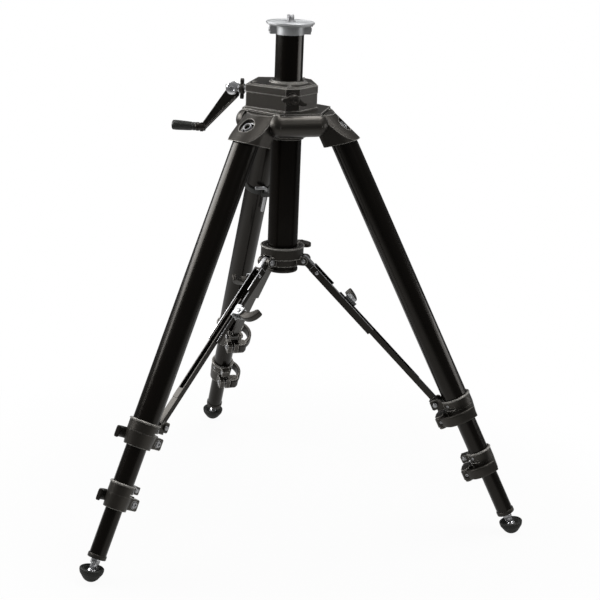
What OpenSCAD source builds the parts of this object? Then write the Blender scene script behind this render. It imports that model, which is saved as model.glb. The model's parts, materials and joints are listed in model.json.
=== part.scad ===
// Geared-column tripod: three braced legs in three telescoping stages, rack-and-pinion column.
// Frame: origin on the floor under the column axis, +Z up, rear leg towards +Y.

/* [Stance] */
// Angle of each leg from the vertical at rest, degrees
leg_angle = 26.741; // [20:0.001:30]
// Height of the leg pivots above the floor, mm
pivot_height = 525.5; // [460:0.5:640]
// Distance of the leg pivots from the column axis, mm
pivot_radius = 47.5; // [44:0.5:54]
// Distance of the leg tube axis outside its pivot, mm
leg_offset = 12.84; // [12:0.01:15]

/* [Column] */
// Outer diameter of the column tube, mm
column_d = 35; // [32:0.1:36]
// Wall of the column tube, mm
column_wall = 2.5; // [2:0.1:3]
// Height of the lower end of the column tube, mm
column_foot = 338; // [320:0.5:380]
// Height of the underside of the head plate, mm
plate_seat = 642; // [620:0.5:760]
// Outer diameter of the guide sleeve, mm
sleeve_d = 38.5; // [37.6:0.1:40]
// Height of the lower end of the guide sleeve, mm
sleeve_foot = 330; // [310:0.5:335]
// Length of each bush inside the sleeve, mm
bush_length = 18; // [10:1:30]
// Width of the rack strip let into the column, mm
rack_w = 9; // [7:0.5:10]

/* [Head plate] */
// Diameter of the round head plate, mm
plate_d = 60; // [54:0.5:66]
// Thickness of the head plate, mm
plate_t = 4.9; // [4:0.1:7]
// Length of the plate's hub on the column, mm
hub_length = 11; // [8:0.5:14]
// Major diameter of the 3/8 inch head stud, mm
stud_d = 9.52; // [6.35, 9.52]
// Height of the stud above the plate, mm
stud_h = 8; // [7:0.1:12]

/* [Crown] */
// Width of each leg casting between the fork faces, mm
casting_w = 48; // [44:0.5:50]
// Side gap between a leg casting and the fork faces, mm
fork_gap = 0.5; // [0.3:0.1:1]
// Radius of the three rounded crown barrels, mm
barrel_r = 14.5; // [12.5:0.1:14.8]
// Half the straight length of each barrel, mm
barrel_half = 24; // [22:0.5:30]
// Radius of the crown's central hub, mm
crown_hub_r = 35; // [32:0.5:35.5]
// Thickness of the crown's top plate, mm
crown_plate_t = 3; // [2:0.1:4]
// Diameter of each leg pivot bolt, mm
pivot_bolt_d = 10; // [8:0.5:11]

/* [Gear housing] */
// Height of the lower half of the gear housing, mm
case_h = 20.7; // [20:0.1:24]
// Height of the housing cover, mm
cover_h = 11; // [9.5:0.1:14]
// Wall of the housing, mm
case_wall = 3.6; // [3:0.1:5]
// Diameter of the raised ring round the column, mm
ring_d = 47; // [44:0.5:52]

/* [Crank] */
// Module of the rack and pinion, mm
gear_module = 1; // [0.9:0.05:1.05]
// Teeth on the pinion
pinion_teeth = 12; // [12:1:14]
// Diameter of the crank shaft, mm
shaft_d = 8; // [7:0.5:8.5]
// Height of the crank shaft, mm above the crown's top face
shaft_rise = 16; // [15:0.1:17]
// Distance of the crank hub from the column axis, mm
crank_hub_u = 76; // [74:0.5:80]
// Crank radius, shaft axis to grip axis, mm
crank_r = 52.8; // [45:0.1:60]
// Outward lean of the crank arm, mm over its length
crank_lean = 39; // [34:0.5:44]
// Diameter of the crank grip, mm
grip_d = 13; // [11:0.5:16]
// Length of the crank grip, mm
grip_length = 31; // [26:0.5:40]

/* [Legs] */
// Outer diameter of the upper leg tube, mm
upper_d = 32.5; // [31.5:0.1:33]
// Outer diameter of the middle leg tube, mm
middle_d = 25.7; // [25:0.1:26.2]
// Outer diameter of the lower leg tube, mm
lower_d = 21.2; // [20.6:0.1:21.4]
// Wall of the upper leg tube, mm
upper_wall = 2; // [1.8:0.1:2.4]
// Wall of the middle leg tube, mm
middle_wall = 1.75; // [1.5:0.05:1.8]
// Wall of the lower leg tube, mm
lower_wall = 1.75; // [1.5:0.05:2.2]
// Upper clamp, distance from the leg pivot along the leg, mm
upper_clamp_s = 390.5; // [370:0.5:400]
// Lower clamp, distance from the leg pivot along the leg, mm
lower_clamp_s = 469; // [460:0.5:475]
// Top of the middle tube, distance along the leg, mm
middle_top_s = 100; // [95:1:130]
// Top of the lower tube, distance along the leg, mm
lower_top_s = 155; // [150:1:180]
// Length of the guide bush at the top of each inner tube, mm
guide_length = 20; // [12:1:30]

/* [Clamps] */
// Wall of the clamp body round the tube, mm
clamp_wall = 2.7; // [2.4:0.1:3.4]
// Height of the clamp's fixed ring, mm
clamp_ring_h = 10.4; // [10:0.1:13]
// Height of the slot between fixed ring and split ring, mm
clamp_slot = 2.2; // [1.5:0.1:3]
// Height of the clamp's split ring, mm
clamp_split_h = 19.8; // [18.6:0.1:24]
// Width across the clamp ears, mm
ear_w = 16; // [14:0.5:18]
// Diameter of the lever's hinge post, mm
post_d = 5; // [4:0.5:6]
// Thickness of the clamp lever, mm
lever_t = 4.8; // [4:0.1:6]

/* [Braces] */
// Distance of the collar pins from the column axis, mm
brace_pin_r = 30; // [29:0.5:32]
// Height of the collar pins above the floor, mm
brace_pin_z = 345.5; // [344:0.5:352]
// Outer width of the brace channel, mm
channel_w = 12.4; // [11.8:0.1:13.2]
// Sheet thickness of the brace channel, mm
channel_t = 1.4; // [1.2:0.1:1.8]
// Length of the brace channel below its pin, mm
channel_length = 126; // [110:1:140]
// Start of the sliding bar below the collar pin, mm
bar_start = 62; // [55:1:75]
// End of the wide part of the sliding bar, mm below the collar pin
bar_end = 213; // [190:1:222]
// Diameter of the brace pins, mm
brace_pin_d = 5; // [4:0.5:6]

/* [Feet] */
// Radius of the rubber sole about the ball centre, mm
sole_r = 11.86; // [11:0.01:12.6]
// Diameter of the pad's rim, mm
pad_d = 29.6; // [28.4:0.1:32]
// Diameter of the steel ball, mm
ball_d = 12; // [10:0.5:13]
// Tilt of the pad from level, degrees
pad_tilt = 10.7; // [0:0.1:15]

/* [Fits] */
// Radial clearance of a running fit, mm
fit = 0.05; // [0.01:0.01:0.1]

/* [Hidden] */
$fn = 72;
az_left = 210;
az_right = 330;
az_rear = 90;
az_crank = 150;
leg_azimuths = [az_left, az_right, az_rear];
black = [0.07, 0.07, 0.07];
satin = [0.16, 0.16, 0.17];
rubber = [0.09, 0.09, 0.1];
alloy = [0.75, 0.76, 0.77];
steel = [0.62, 0.63, 0.65];

column_r = column_d / 2;
sleeve_r = sleeve_d / 2;
crown_top = pivot_height + barrel_r + 0.5;
case_top = crown_top + case_h;
cover_top = case_top + cover_h;
slot_half = casting_w / 2 + fork_gap;
knuckle_r = 9;
barrel_axis = pivot_radius * cos(60) + slot_half * sin(60);

// Crank shaft: beside the column, on the far side of the front face
pitch_r = gear_module * pinion_teeth / 2;
rack_tip = sqrt(column_r * column_r - rack_w * rack_w / 4) - 0.05;
rack_pitch_plane = rack_tip - gear_module;
shaft_v = -(rack_pitch_plane + pitch_r);
shaft_z = crown_top + shaft_rise;
shaft_r = shaft_d / 2;
pressure = 25;
backlash = 0.07;
tooth_pitch = PI * gear_module;
rack_low = column_foot + 22;
rack_high = shaft_z + 62;

// Leg stations
upper_r = upper_d / 2;
middle_r = middle_d / 2;
lower_r = lower_d / 2;
upper_bore = upper_r - upper_wall;
middle_bore = middle_r - middle_wall;
lower_bore = lower_r - lower_wall;
tube_top_s = 28;
spigot_end_s = 60;
clamp_h = clamp_ring_h + clamp_slot + clamp_split_h;
upper_end_s = upper_clamp_s + clamp_ring_h + 3;
middle_end_s = lower_clamp_s + clamp_ring_h + 3;
foot_s = (pivot_height + leg_offset * sin(leg_angle) - sole_r) / cos(leg_angle);
lower_end_s = foot_s - 17.6;

// Brace: from the collar pin to the lug of the upper clamp
lug_s = upper_clamp_s + 0.5;
lug_n = -(upper_r + clamp_wall + 7.4);
lug_r = pivot_radius + lug_s * sin(leg_angle) + (leg_offset + lug_n) * cos(leg_angle);
lug_z = pivot_height - lug_s * cos(leg_angle) + (leg_offset + lug_n) * sin(leg_angle);
brace_angle = atan2(lug_r - brace_pin_r, brace_pin_z - lug_z);
brace_length = norm([lug_r - brace_pin_r, brace_pin_z - lug_z]);
brace_base = -3.6;
brace_top = 6;
lock_s = 79;
lock_x = 2;

// Which sub-part to draw

// Frames: x outward from the leg, y round the column, z up along the leg or brace
module in_leg(az)
    rotate([0, 0, az]) translate([pivot_radius, 0, pivot_height]) rotate([0, -leg_angle, 0]) children();

module on_tube(az) in_leg(az) translate([leg_offset, 0, 0]) children();

module in_brace(az)
    rotate([0, 0, az]) translate([brace_pin_r, 0, brace_pin_z]) rotate([0, -brace_angle, 0]) children();

// Frame of the gear housing: x along the crank shaft, away from the column
module in_case() rotate([0, 0, az_crank]) children();

module rod(r, z0, z1) translate([0, 0, z0]) cylinder(h = z1 - z0, r = r);

module pipe(ro, ri, z0, z1) difference() {
    rod(ro, z0, z1);
    rod(ri, z0 - 1, z1 + 1);
}

module block(x0, x1, y0, y1, z0, z1) translate([x0, y0, z0]) cube([x1 - x0, y1 - y0, z1 - z0]);

// Round bar lying along y
module cross(r, y0, y1) translate([0, y1, 0]) rotate([90, 0, 0]) cylinder(h = y1 - y0, r = r);

// Round bar lying along x
module along(r, x0, x1) translate([x0, 0, 0]) rotate([0, 90, 0]) cylinder(h = x1 - x0, r = r);

// Crown casting: hub, three rounded barrels and a top plate, slotted for the legs
plate_flat = pivot_radius + 1.5;
plate_side = 52;
plate_tip = (plate_side - plate_flat / 2) / sin(60);

module crown_plate()
    linear_extrude(crown_plate_t) polygon([for (a = leg_azimuths, s = [-1, 1])
        [plate_flat * cos(a) - s * plate_tip * sin(a), plate_flat * sin(a) + s * plate_tip * cos(a)]]);

module barrel() translate([barrel_axis, 0, pivot_height]) {
    cross(barrel_r, -barrel_half, barrel_half);
    for (s = [-1, 1]) translate([0, barrel_half * s, 0]) sphere(r = barrel_r);
}

module crown() color(satin) difference() {
    union() {
        rod(crown_hub_r, pivot_height - barrel_r, crown_top);
        rod(25.8, pivot_height - barrel_r - 6, pivot_height);
        rod(sleeve_r + 2.6, pivot_height - barrel_r - 9, pivot_height);
        translate([0, 0, crown_top - crown_plate_t]) crown_plate();
        for (a = [30, 150, 270]) rotate([0, 0, a]) barrel();
    }
    for (a = leg_azimuths) rotate([0, 0, a]) {
        block(pivot_radius - knuckle_r - 1, 110, -slot_half, slot_half,
            pivot_height - 60, crown_top - crown_plate_t);
        translate([pivot_radius, 0, pivot_height]) cross(pivot_bolt_d / 2, -slot_half - 13, slot_half + 13);
    }
    rod(sleeve_r, 0, crown_top + 1);
}

// Leg pivot bolts held in the crown, and the pins of the collar forks
module pivot_bolts() color(steel) for (a = leg_azimuths) {
    rotate([0, 0, a]) translate([pivot_radius, 0, pivot_height]) difference() {
        cross(pivot_bolt_d / 2, -slot_half - 13, slot_half + 13);
        for (s = [-1, 1]) translate([0, s * (slot_half + 12), 0]) cross(2.5, -3, 3);
    }
    rotate([0, 0, a]) translate([brace_pin_r, 0, brace_pin_z]) {
        cross(brace_pin_d / 2, -fork_out, fork_out + 1.6);
        translate([0, fork_out, 0]) cross(brace_pin_d / 2 + 1.5, 0, 1.6);
    }
}

// Guide sleeve of the column, with bushes and an end ring
module sleeve() color(black) difference() {
    union() {
        rod(sleeve_r, sleeve_foot, crown_top);
        rod(sleeve_r + 0.7, sleeve_foot, sleeve_foot + 4);
        rod(sleeve_r + 0.5, sleeve_foot + 5.5, sleeve_foot + 7);
    }
    rod(column_r + fit, sleeve_foot - 1, crown_top + 1);
    rod(column_r + 0.35, sleeve_foot + bush_length, crown_top - bush_length);
}

// Brace collar clamped on the sleeve: ring, three forks, boss of the clamping knob
collar_top = brace_pin_z + 18;
collar_r = 27.5;
fork_in = channel_w / 2 - 0.7;
fork_out = fork_in + 4;
knob_z = collar_top - 5.6;

module fork_cheek() {
    cross(5.8, fork_in, fork_out);
    block(-9, 0, fork_in, fork_out, -5.8, 5.8);
}

module collar() color(satin) difference() {
    union() {
        rod(collar_r, brace_pin_z + 2.5, collar_top);
        rod(collar_r - 4.2, brace_pin_z - 7, collar_top);
        rod(collar_r + 0.8, collar_top - 1.6, collar_top - 0.4);
        for (a = leg_azimuths) rotate([0, 0, a]) translate([brace_pin_r, 0, brace_pin_z]) {
            fork_cheek();
            mirror([0, 1, 0]) fork_cheek();
        }
        rotate([0, 0, 30]) translate([0, 0, knob_z]) along(5.6, 20, collar_r + 2.5);
    }
    for (a = leg_azimuths) rotate([0, 0, a]) {
        block(brace_pin_r - 7.2, 50, -fork_in, fork_in, brace_pin_z - 20, brace_pin_z + 7.4);
        translate([brace_pin_r, 0, brace_pin_z]) cross(brace_pin_d / 2, -fork_out - 1, fork_out + 2);
    }
    rotate([0, 0, 30]) translate([0, 0, knob_z]) along(3 + fit, sleeve_r + 0.4, 50);
    rod(collar_r - 3.4, collar_top - 1.5, collar_top + 1);
    rod(sleeve_r, 0, collar_top + 2);
}

// Wing knob that clamps the collar on the sleeve
module collar_knob() color(black) rotate([0, 0, 30]) translate([0, 0, knob_z]) {
    along(3, sleeve_r + 0.6, collar_r + 8);
    along(5.4, collar_r + 3, collar_r + 12);
    translate([collar_r + 6, 0, 0]) intersection() {
        union() {
            block(0, 20, -13, 13, -2.6, 2.6);
            block(0, 6, -8, 8, -4.2, 4.2);
        }
        translate([1, 0, 0]) rod(18, -5, 5);
    }
}

// Housing plan: flat end for the crank, two long sides, blunt nose
case_pts = [[47, -28], [47, 28], [-8, 49], [-23, 38], [-37.5, 0], [-23, -38], [-8, -49]];
case_inner = 1 - case_wall / 40;

module case_slab(k, z0, z1) translate([0, 0, z0]) linear_extrude(z1 - z0)
    polygon([for (p = case_pts) p * k]);

module drive_space() translate([0, shaft_v, shaft_z]) {
    along(pitch_r + gear_module + 0.8, -6.5, 6.5);
    along(shaft_r + fit, -shaft_length_in, 70);
}
shaft_length_in = 18;

// Seat and stem bore of the column lock on the front face
lock_p = [-14.5, 44.2];
lock_az = 126.2;
lock_z = crown_top + 17.6;

module at_lock() translate([lock_p[0], lock_p[1], lock_z]) rotate([0, 0, lock_az]) children();

module lock_bore() at_lock() {
    along(4 + fit, -23, 9);
    along(7.4, -0.6, 9);
}

module gear_case() color(satin) in_case() difference() {
    union() {
        difference() {
            union() {
                case_slab(1.03, crown_top, crown_top + 2.2);
                case_slab(1, crown_top, case_top);
            }
            case_slab(case_inner, crown_top + 3, case_top + 1);
        }
        rod(column_r + 4.5, crown_top, case_top);
        block(-22, 46, shaft_v - 8, shaft_v + 6.5, crown_top + 1, case_top);
        intersection() {
            at_lock() block(-20, -1, -7, 7, -14, case_top - lock_z);
            case_slab(0.99, crown_top + 1, case_top);
        }
        for (p = case_screws) translate(p) rod(4.2, crown_top + 1, case_top);
    }
    drive_space();
    lock_bore();
    rod(column_r + 0.6, 0, case_top + 1);
}
case_screws = [[38, 20], [-10, 38], [-28, 2], [-10, -40]];

module gear_cover() color(satin) in_case() difference() {
    union() {
        difference() {
            union() {
                case_slab(1.014, case_top, cover_top - 2);
                case_slab(0.955, case_top, cover_top);
            }
            case_slab(case_inner - 0.02, case_top - 1, cover_top - 4.5);
        }
        rod(ring_d / 2 - 2.5, case_top, cover_top + 2.4);
        rod(ring_d / 2, cover_top - 3, cover_top + 1.2);
        for (p = case_screws) translate(p) rod(4.2, case_top, cover_top - 3);
    }
    drive_space();
    lock_bore();
    rod(column_r + 0.6, 0, cover_top + 5);
    translate([0, 0, cover_top]) rod(column_r + 1.8, 0.9, 5);
}

// Column lock: two-bladed lever on a stem that bears on the column's pressure pad
module lock_lever() color(black) in_case() at_lock() {
    along(4, -22, 6);
    along(6.4, 0.4, 10.5);
    translate([3.2, 0, 0]) rotate([90, 0, 90]) linear_extrude(5.6) polygon([[-15.5, 2.4],
        [-9, 3.5], [-3, 5.9], [3, 5.6], [8, 1.2], [12, -3.4], [17, -4.4], [17, -7.6], [11, -8.6],
        [6, -5.6], [2, -4.4], [-6, -3.6], [-15.5, -2.4]]);
}

// Pinion and rack: involute teeth on the pinion, straight flanks on the rack
function inv(a) = tan(a) * 180 / PI - a;
base_r = pitch_r * cos(pressure);
tip_r = pitch_r + gear_module;
root_r = pitch_r - 1.25 * gear_module;
function half_angle(r) = 90 / pinion_teeth - backlash / pitch_r * 180 / PI + inv(pressure)
    - inv(acos(min(1, base_r / r)));
flank = [for (i = [0:5]) base_r + (tip_r - base_r) * i / 5];
function polar(r, a) = [r * cos(a), r * sin(a)];
pinion_pts = [for (k = [0:pinion_teeth - 1]) let (c = 360 / pinion_teeth * k)
    each concat([polar(root_r, c - half_angle(base_r))],
        [for (r = flank) polar(r, c - half_angle(r))],
        [for (i = [5:-1:0]) polar(flank[i], c + half_angle(flank[i]))],
        [polar(root_r, c + half_angle(base_r))])];

module crank_shaft() color(alloy) in_case() translate([0, shaft_v, shaft_z]) {
    along(shaft_r, -shaft_length_in + 0.5, crank_hub_u);
    translate([1 - rack_w / 2, 0, 0]) rotate([90, 0, 90]) linear_extrude(rack_w - 2) polygon(pinion_pts);
    translate([crank_hub_u, 0, 0]) difference() {
        cross(7.6, -6, 6);
        cross(3.2, 4.6, 8);
    }
}

// Butterfly nut that sets the friction of the crank
wing_u = crank_hub_u - 11.7;

module friction_wing() color(black) in_case() translate([wing_u, shaft_v, shaft_z]) difference() {
    union() {
        along(6.6, -3.4, 2.2);
        for (s = [-1, 1]) translate([0, 0, 9.5 * s]) along(3.4, -2.4, 2.2);
        block(-2, 2, -2.6, 2.6, -10, 10);
    }
    along(shaft_r + fit, -8, 8);
}

arm_top = [[8.9, -2.9], [-7.4, -9.5]];
arm_low = [[crank_lean + 0.3, 5.2 - crank_r], [crank_lean - 0.6, -5.6 - crank_r]];

module crank_arm() color(black) in_case() translate([crank_hub_u, shaft_v, shaft_z]) difference() {
    union() {
        translate([0, 2.6, 0]) rotate([90, 0, 0]) linear_extrude(5.2)
            polygon([[9.2, 4], arm_top[0], arm_low[0], [crank_lean + 3, 5.4 - crank_r],
                [crank_lean + 3, -5.6 - crank_r], arm_low[1], arm_top[1], [-8.8, -3]]);
        translate([0, 4.2, 0]) rotate([90, 0, 0]) linear_extrude(8.4)
            polygon([arm_top[1], arm_low[1], arm_low[1] + [1.4, 2.6], arm_top[1] + [2, 1.2]]);
        translate([0, 3.4, 0]) rotate([90, 0, 0]) linear_extrude(6.8)
            polygon([arm_top[1], arm_top[0], arm_top[0] * 0.55 + arm_low[0] * 0.45,
                arm_top[1] * 0.55 + arm_low[1] * 0.45]);
        translate([0, 0, -crank_r]) {
            along(5, crank_lean - 3, crank_lean + 9);
            along(3, crank_lean, crank_lean + 8 + grip_length - 3);
            along(4.4, crank_lean + 5 + grip_length, crank_lean + 8 + grip_length - 1);
        }
    }
    cross(7.6, -9, 9);
    along(shaft_r, -20, 0);
}

// Grip turning on the arm's spindle
module crank_grip() color(rubber)
    in_case() translate([crank_hub_u + crank_lean + 9.4, shaft_v, shaft_z - crank_r]) difference() {
        rotate([0, 90, 0]) rotate_extrude() polygon([[0, 0], [grip_d / 2 - 1.4, 0],
            [grip_d / 2 - 0.9, 1], [grip_d / 2, grip_length - 8], [grip_d / 2, grip_length - 2],
            [grip_d / 2 - 1.6, grip_length], [0, grip_length]]);
        along(3 + fit, -1, grip_length - 2);
        along(4.4 + fit, grip_length - 4.8, grip_length - 1.6);
    }

// Column tube with the rack let into it, and the head plate
module column_tube() color(black) in_case() difference() {
    union() {
        rod(column_r, column_foot, plate_seat - hub_length + 8);
        rod(column_r - column_wall - 1, column_foot + 1, column_foot + 5);
    }
    rod(column_r - column_wall, column_foot + 5, plate_seat);
    rod(column_r - column_wall - 3, column_foot - 1, column_foot + 8);
    block(-rack_w / 2, rack_w / 2, -column_r - 1, -column_r + 4, rack_low, rack_high);
}

module rack_space(z) translate([-rack_w, 0, z]) rotate([90, 0, 90]) linear_extrude(2 * rack_w)
    let (a = gear_module, w = tooth_pitch / 4 + backlash, t = tan(pressure))
    polygon([[-rack_tip - 0.6, w + (a + 0.6) * t], [-rack_pitch_plane + 1.3 * a, w - 1.3 * a * t],
        [-rack_pitch_plane + 1.3 * a, -w + 1.3 * a * t], [-rack_tip - 0.6, -w - (a + 0.6) * t]]);

module column_rack() color(steel) in_case() difference() {
    block(-rack_w / 2, rack_w / 2, -rack_tip, -column_r + 4, rack_low, rack_high);
    for (k = [ceil((rack_low - shaft_z) / tooth_pitch + 0.6):floor((rack_high - shaft_z) / tooth_pitch - 0.6)])
        rack_space(shaft_z + k * tooth_pitch);
}

module head_plate() color(alloy) translate([0, 0, plate_seat]) difference() {
    union() {
        rotate_extrude() polygon([[0, 0], [plate_d / 2 - 3.8, 0], [plate_d / 2 - 1.2, 1.2],
            [plate_d / 2, 2.6], [plate_d / 2, plate_t - 1], [plate_d / 2 - 0.8, plate_t], [0, plate_t]]);
        rod(column_r + 0.4, -hub_length, 1);
        in_case() rotate([0, 0, 21]) for (a = [0, 180]) rotate([0, 0, a])
            block(column_r - 3, column_r + 8, -4.2, 4.2, -hub_length + 0.5, 0);
    }
    rod(column_r, -hub_length - 1, -hub_length + 8);
    rod(plate_d / 2 - 3, plate_t - 0.5, plate_t + 1);
    for (k = [0:11]) rotate([0, 0, 30 * k + 7]) translate([plate_d / 2 - 8, 0, 0]) rod(1.3, plate_t - 1.6, plate_t);
}

module head_stud() color(steel) difference() {
    union() {
        rod(stud_d / 2, plate_seat + plate_t - 0.5, plate_seat + plate_t + stud_h);
        rod(7, plate_seat + plate_t - 0.5, plate_seat + plate_t);
    }
    translate([0, 0, plate_seat + plate_t + stud_h]) block(-6, 6, -0.6, 0.6, -1.4, 1);
}

// Leg casting: wide block with a domed sloping face, round socket and spigot for the tube
face_tilt = 22.3;
face_crest = 17.1;
face_r = 37.5;
face_end = 34;
inner_r = 6;
outer_r = 23.2;
casting_low = 36.3;
casting_rise = 8.6;
casting_top = 11.4;
recess_s = 20;

// Height in the casting's profile, at distance x from the pivot, of its level top
function level(x) = (casting_top - x * sin(leg_angle)) / cos(leg_angle);

module casting_plan() {
    w = casting_w / 2;
    x0 = -knuckle_r;
    block(x0 + inner_r, face_end - outer_r, -w, w, -60, 20);
    block(x0, face_end, -w + outer_r, w - outer_r, -60, 20);
    block(x0, face_end - outer_r, -w + inner_r, w - inner_r, -60, 20);
    for (s = [-1, 1]) {
        translate([face_end - outer_r, s * (w - outer_r), 0]) rod(outer_r, -60, 20);
        translate([x0 + inner_r, s * (w - inner_r), 0]) rod(inner_r, -60, 20);
    }
}

// Frame of the sloping face: x square to it, z up along it
module on_face() rotate([0, -face_tilt, 0]) children();

module casting(az) color(satin) in_leg(az) difference() {
    union() {
        intersection() {
            casting_plan();
            translate([0, casting_w / 2, 0]) rotate([90, 0, 0]) linear_extrude(casting_w)
                polygon([[-knuckle_r, 0], [0, 0], [0, knuckle_r], [7.4, level(7.4)], [face_end, level(face_end)],
                    [face_end, -casting_low], [-knuckle_r, casting_rise - casting_low]]);
            on_face() translate([face_crest - face_r, 0, 0]) rod(face_r, -70, 50);
        }
        intersection() {
            cross(knuckle_r, -casting_w / 2, casting_w / 2);
            casting_plan();
        }
        translate([leg_offset, 0, 0]) rod(upper_bore - 0.02, -spigot_end_s, -tube_top_s + 1);
    }
    cross(pivot_bolt_d / 2 + fit, -casting_w, casting_w);
    translate([leg_offset, 0, 0]) pipe(upper_r, upper_bore - 0.02, -60, -tube_top_s);
    translate([leg_offset, 0, 0]) rod(upper_bore - 4, -spigot_end_s - 1, -tube_top_s - 3);
    on_face() translate([0, 0, -recess_s]) {
        along(10.6, face_crest - 6.4, 60);
        along(8.4, face_crest - 13, 60);
    }
    for (s = [-1, 1]) translate([-knuckle_r - 1, s * 12.5, -15]) block(0, 7, -4.6, 4.6, -8, 5);
}

module upper_tube(az) color(black) on_tube(az) pipe(upper_r, upper_bore, -upper_end_s, -tube_top_s);

module middle_tube(az) color(black) on_tube(az) {
    pipe(middle_r, middle_bore, -middle_end_s, -middle_top_s);
    pipe(upper_bore - fit, middle_r, -middle_top_s - guide_length, -middle_top_s);
}

module lower_tube(az) color(black) on_tube(az) {
    difference() {
        union() {
            rod(lower_r, -lower_end_s, -lower_top_s);
            rod(lower_r + 0.6, -lower_end_s, -lower_end_s + 5);
            rod(middle_bore - fit, -lower_top_s - guide_length, -lower_top_s);
        }
        rod(lower_bore, -lower_end_s + 8, -lower_top_s + 1);
        rod(4, -lower_end_s - 1, -lower_end_s + 9);
    }
}

// Tube clamp: fixed ring on the outer tube, split ring on the inner tube, ears and lever cheeks.
// big = radius of the fixed tube, small = radius of the sliding tube, x measured from the tube axis
function ear_x(big) = -(big + clamp_wall + 7.4);
function post_y() = -ear_w / 2 - 6.9;
function ear_at(s0) = s0 + clamp_ring_h + clamp_slot + clamp_split_h / 2;
lever_half = 6.2;
cheek_t = 1.9;

module clamp_body(s0, big, small, lug) {
    body = big + clamp_wall;
    split = s0 + clamp_ring_h + clamp_slot;
    ear_s = ear_at(s0);
    difference() {
        union() {
            rod(body, -split - 2, -s0);
            rod(body + 0.7, -s0 - 2, -s0 - 0.6);
            translate([0, 0, -split - clamp_split_h]) cylinder(h = clamp_split_h - 1, r1 = small + 3.9, r2 = body);
            translate([ear_x(big), 0, -ear_s]) intersection() {
                cross(8.8, -ear_w / 2, ear_w / 2);
                block(-6.6, body, -ear_w / 2, ear_w / 2, -7.4, 7.4);
            }
            translate([ear_x(big), 0, -ear_s]) block(3, body, -ear_w / 2, ear_w / 2, -7.4, 7.4);
            for (z = [-ear_s + lever_half + 0.4, -ear_s - lever_half - 0.4 - cheek_t]) {
                translate([ear_x(big), post_y(), 0]) rod(5.4, z, z + cheek_t);
                block(ear_x(big) - 5.4, ear_x(big) + 5.4, post_y(), 0, z, z + cheek_t);
            }
            translate([ear_x(big), post_y(), 0]) rod(post_d / 2, -ear_s - 8, -ear_s + 8);
            if (lug) translate([lug_n, 0, -lug_s]) for (s = [-1, 1]) scale([1, s, 1]) {
                intersection() {
                    cross(7.8, 6.4, 9.8);
                    block(-6, 9, 6.4, 9.8, -6.6, 6.6);
                }
                block(0, 9, 6.4, 9.8, -clamp_ring_h + 1, 3.8);
                block(0, 12, 6.4, 9.8, -clamp_ring_h + 1, 0.5);
            }
            if (!lug) translate([-body - 4.5, 0, -s0 - 5]) intersection() {
                cross(6.4, -6, 6);
                block(-5, 8, -6, 6, -5.2, 4.6);
            }
        }
        rod(big, -s0 - clamp_ring_h - 3, -s0 + 1);
        rod(small + fit, -split - clamp_split_h - 1, -s0);
        block(-body - 2, -2, -body - 2, body + 2, -split, -split + clamp_slot);
        block(-70, 0, -1.3, 1.3, -split - clamp_split_h - 1, -split + 1);
        translate([ear_x(big), 0, -ear_s]) cross(3.1, -ear_w / 2 - 4, ear_w);
        translate([ear_x(big), 0, -ear_s]) cross(5.2, ear_w / 2 - 1.6, ear_w);
        if (lug) translate([lug_n, 0, -lug_s]) cross(brace_pin_d / 2 + fit, -11, 11);
        if (!lug) translate([-body - 5, 0, -s0 - 5]) cross(2.2, -9, 9);
        if (lug) translate([lug_n, 0, -lug_s]) block(-9, 5, -6.4, 6.4, -8.2, 10);
    }
}

module upper_clamp(az) color(satin) on_tube(az) clamp_body(upper_clamp_s, upper_r, middle_r, true);

module lower_clamp(az) color(satin) on_tube(az) clamp_body(lower_clamp_s, middle_r, lower_r, false);

// Clamp lever: eye on the hinge post with an opening over the bolt, curved arm round the tube
module clamp_lever(s0, big) {
    ear_s = ear_at(s0);
    arc_x = -2.5 - (upper_r - big) * 0.4;
    arc_y = -7 + (upper_r - big) * 0.6;
    mean_r = 0.5 * (norm([ear_x(big) - arc_x, post_y() - arc_y]) + 23.6 - (upper_r - big) * 0.6);
    inner = mean_r - lever_t / 2;
    difference() {
        union() {
            translate([ear_x(big), post_y(), -ear_s]) rod(6.5, -lever_half, lever_half);
            intersection() {
                translate([arc_x, arc_y, -ear_s]) pipe(inner + lever_t, inner, -lever_half, lever_half);
                block(ear_x(big), 60, -80, post_y(), -ear_s - 8, -ear_s + 8);
            }
            translate([arc_x, arc_y, -ear_s]) rotate([0, 0, -34])
                block(inner + 0.6, inner + lever_t + 1.4, -3.4, 3, -lever_half - 0.8, lever_half + 0.8);
            intersection() {
                translate([arc_x, arc_y, -ear_s])
                    pipe(inner + lever_t + 0.6, inner + 1, -lever_half - 1, lever_half + 1);
                block(ear_x(big) + 9, 60, -80, post_y() - 3, -ear_s - 9, -ear_s + 9);
            }
        }
        translate([ear_x(big), post_y(), -ear_s]) rod(post_d / 2 + fit, -12, 12);
        translate([ear_x(big), 0, -ear_s]) cross(2.6, post_y() - 12, post_y() - 1);
        translate([0, 0, -ear_s]) rod(big + clamp_wall + 1.5, -12, 12);
        block(ear_x(big) - 20, 60, post_y() + 6.5, 80, -ear_s - 12, -ear_s + 12);
    }
}

module upper_lever(az) color(black) on_tube(az) clamp_lever(upper_clamp_s, upper_r);

module lower_lever(az) color(black) on_tube(az) clamp_lever(lower_clamp_s, middle_r);

// Foot: steel stem with a ball, rubber pad turning on the ball
module foot_stem(az) color(steel) on_tube(az) {
    rod(4, -foot_s + 3, -lower_end_s + 8);
    translate([0, 0, -foot_s]) sphere(r = ball_d / 2);
    rod(5.4, -lower_end_s - 2, -lower_end_s);
}

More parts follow.
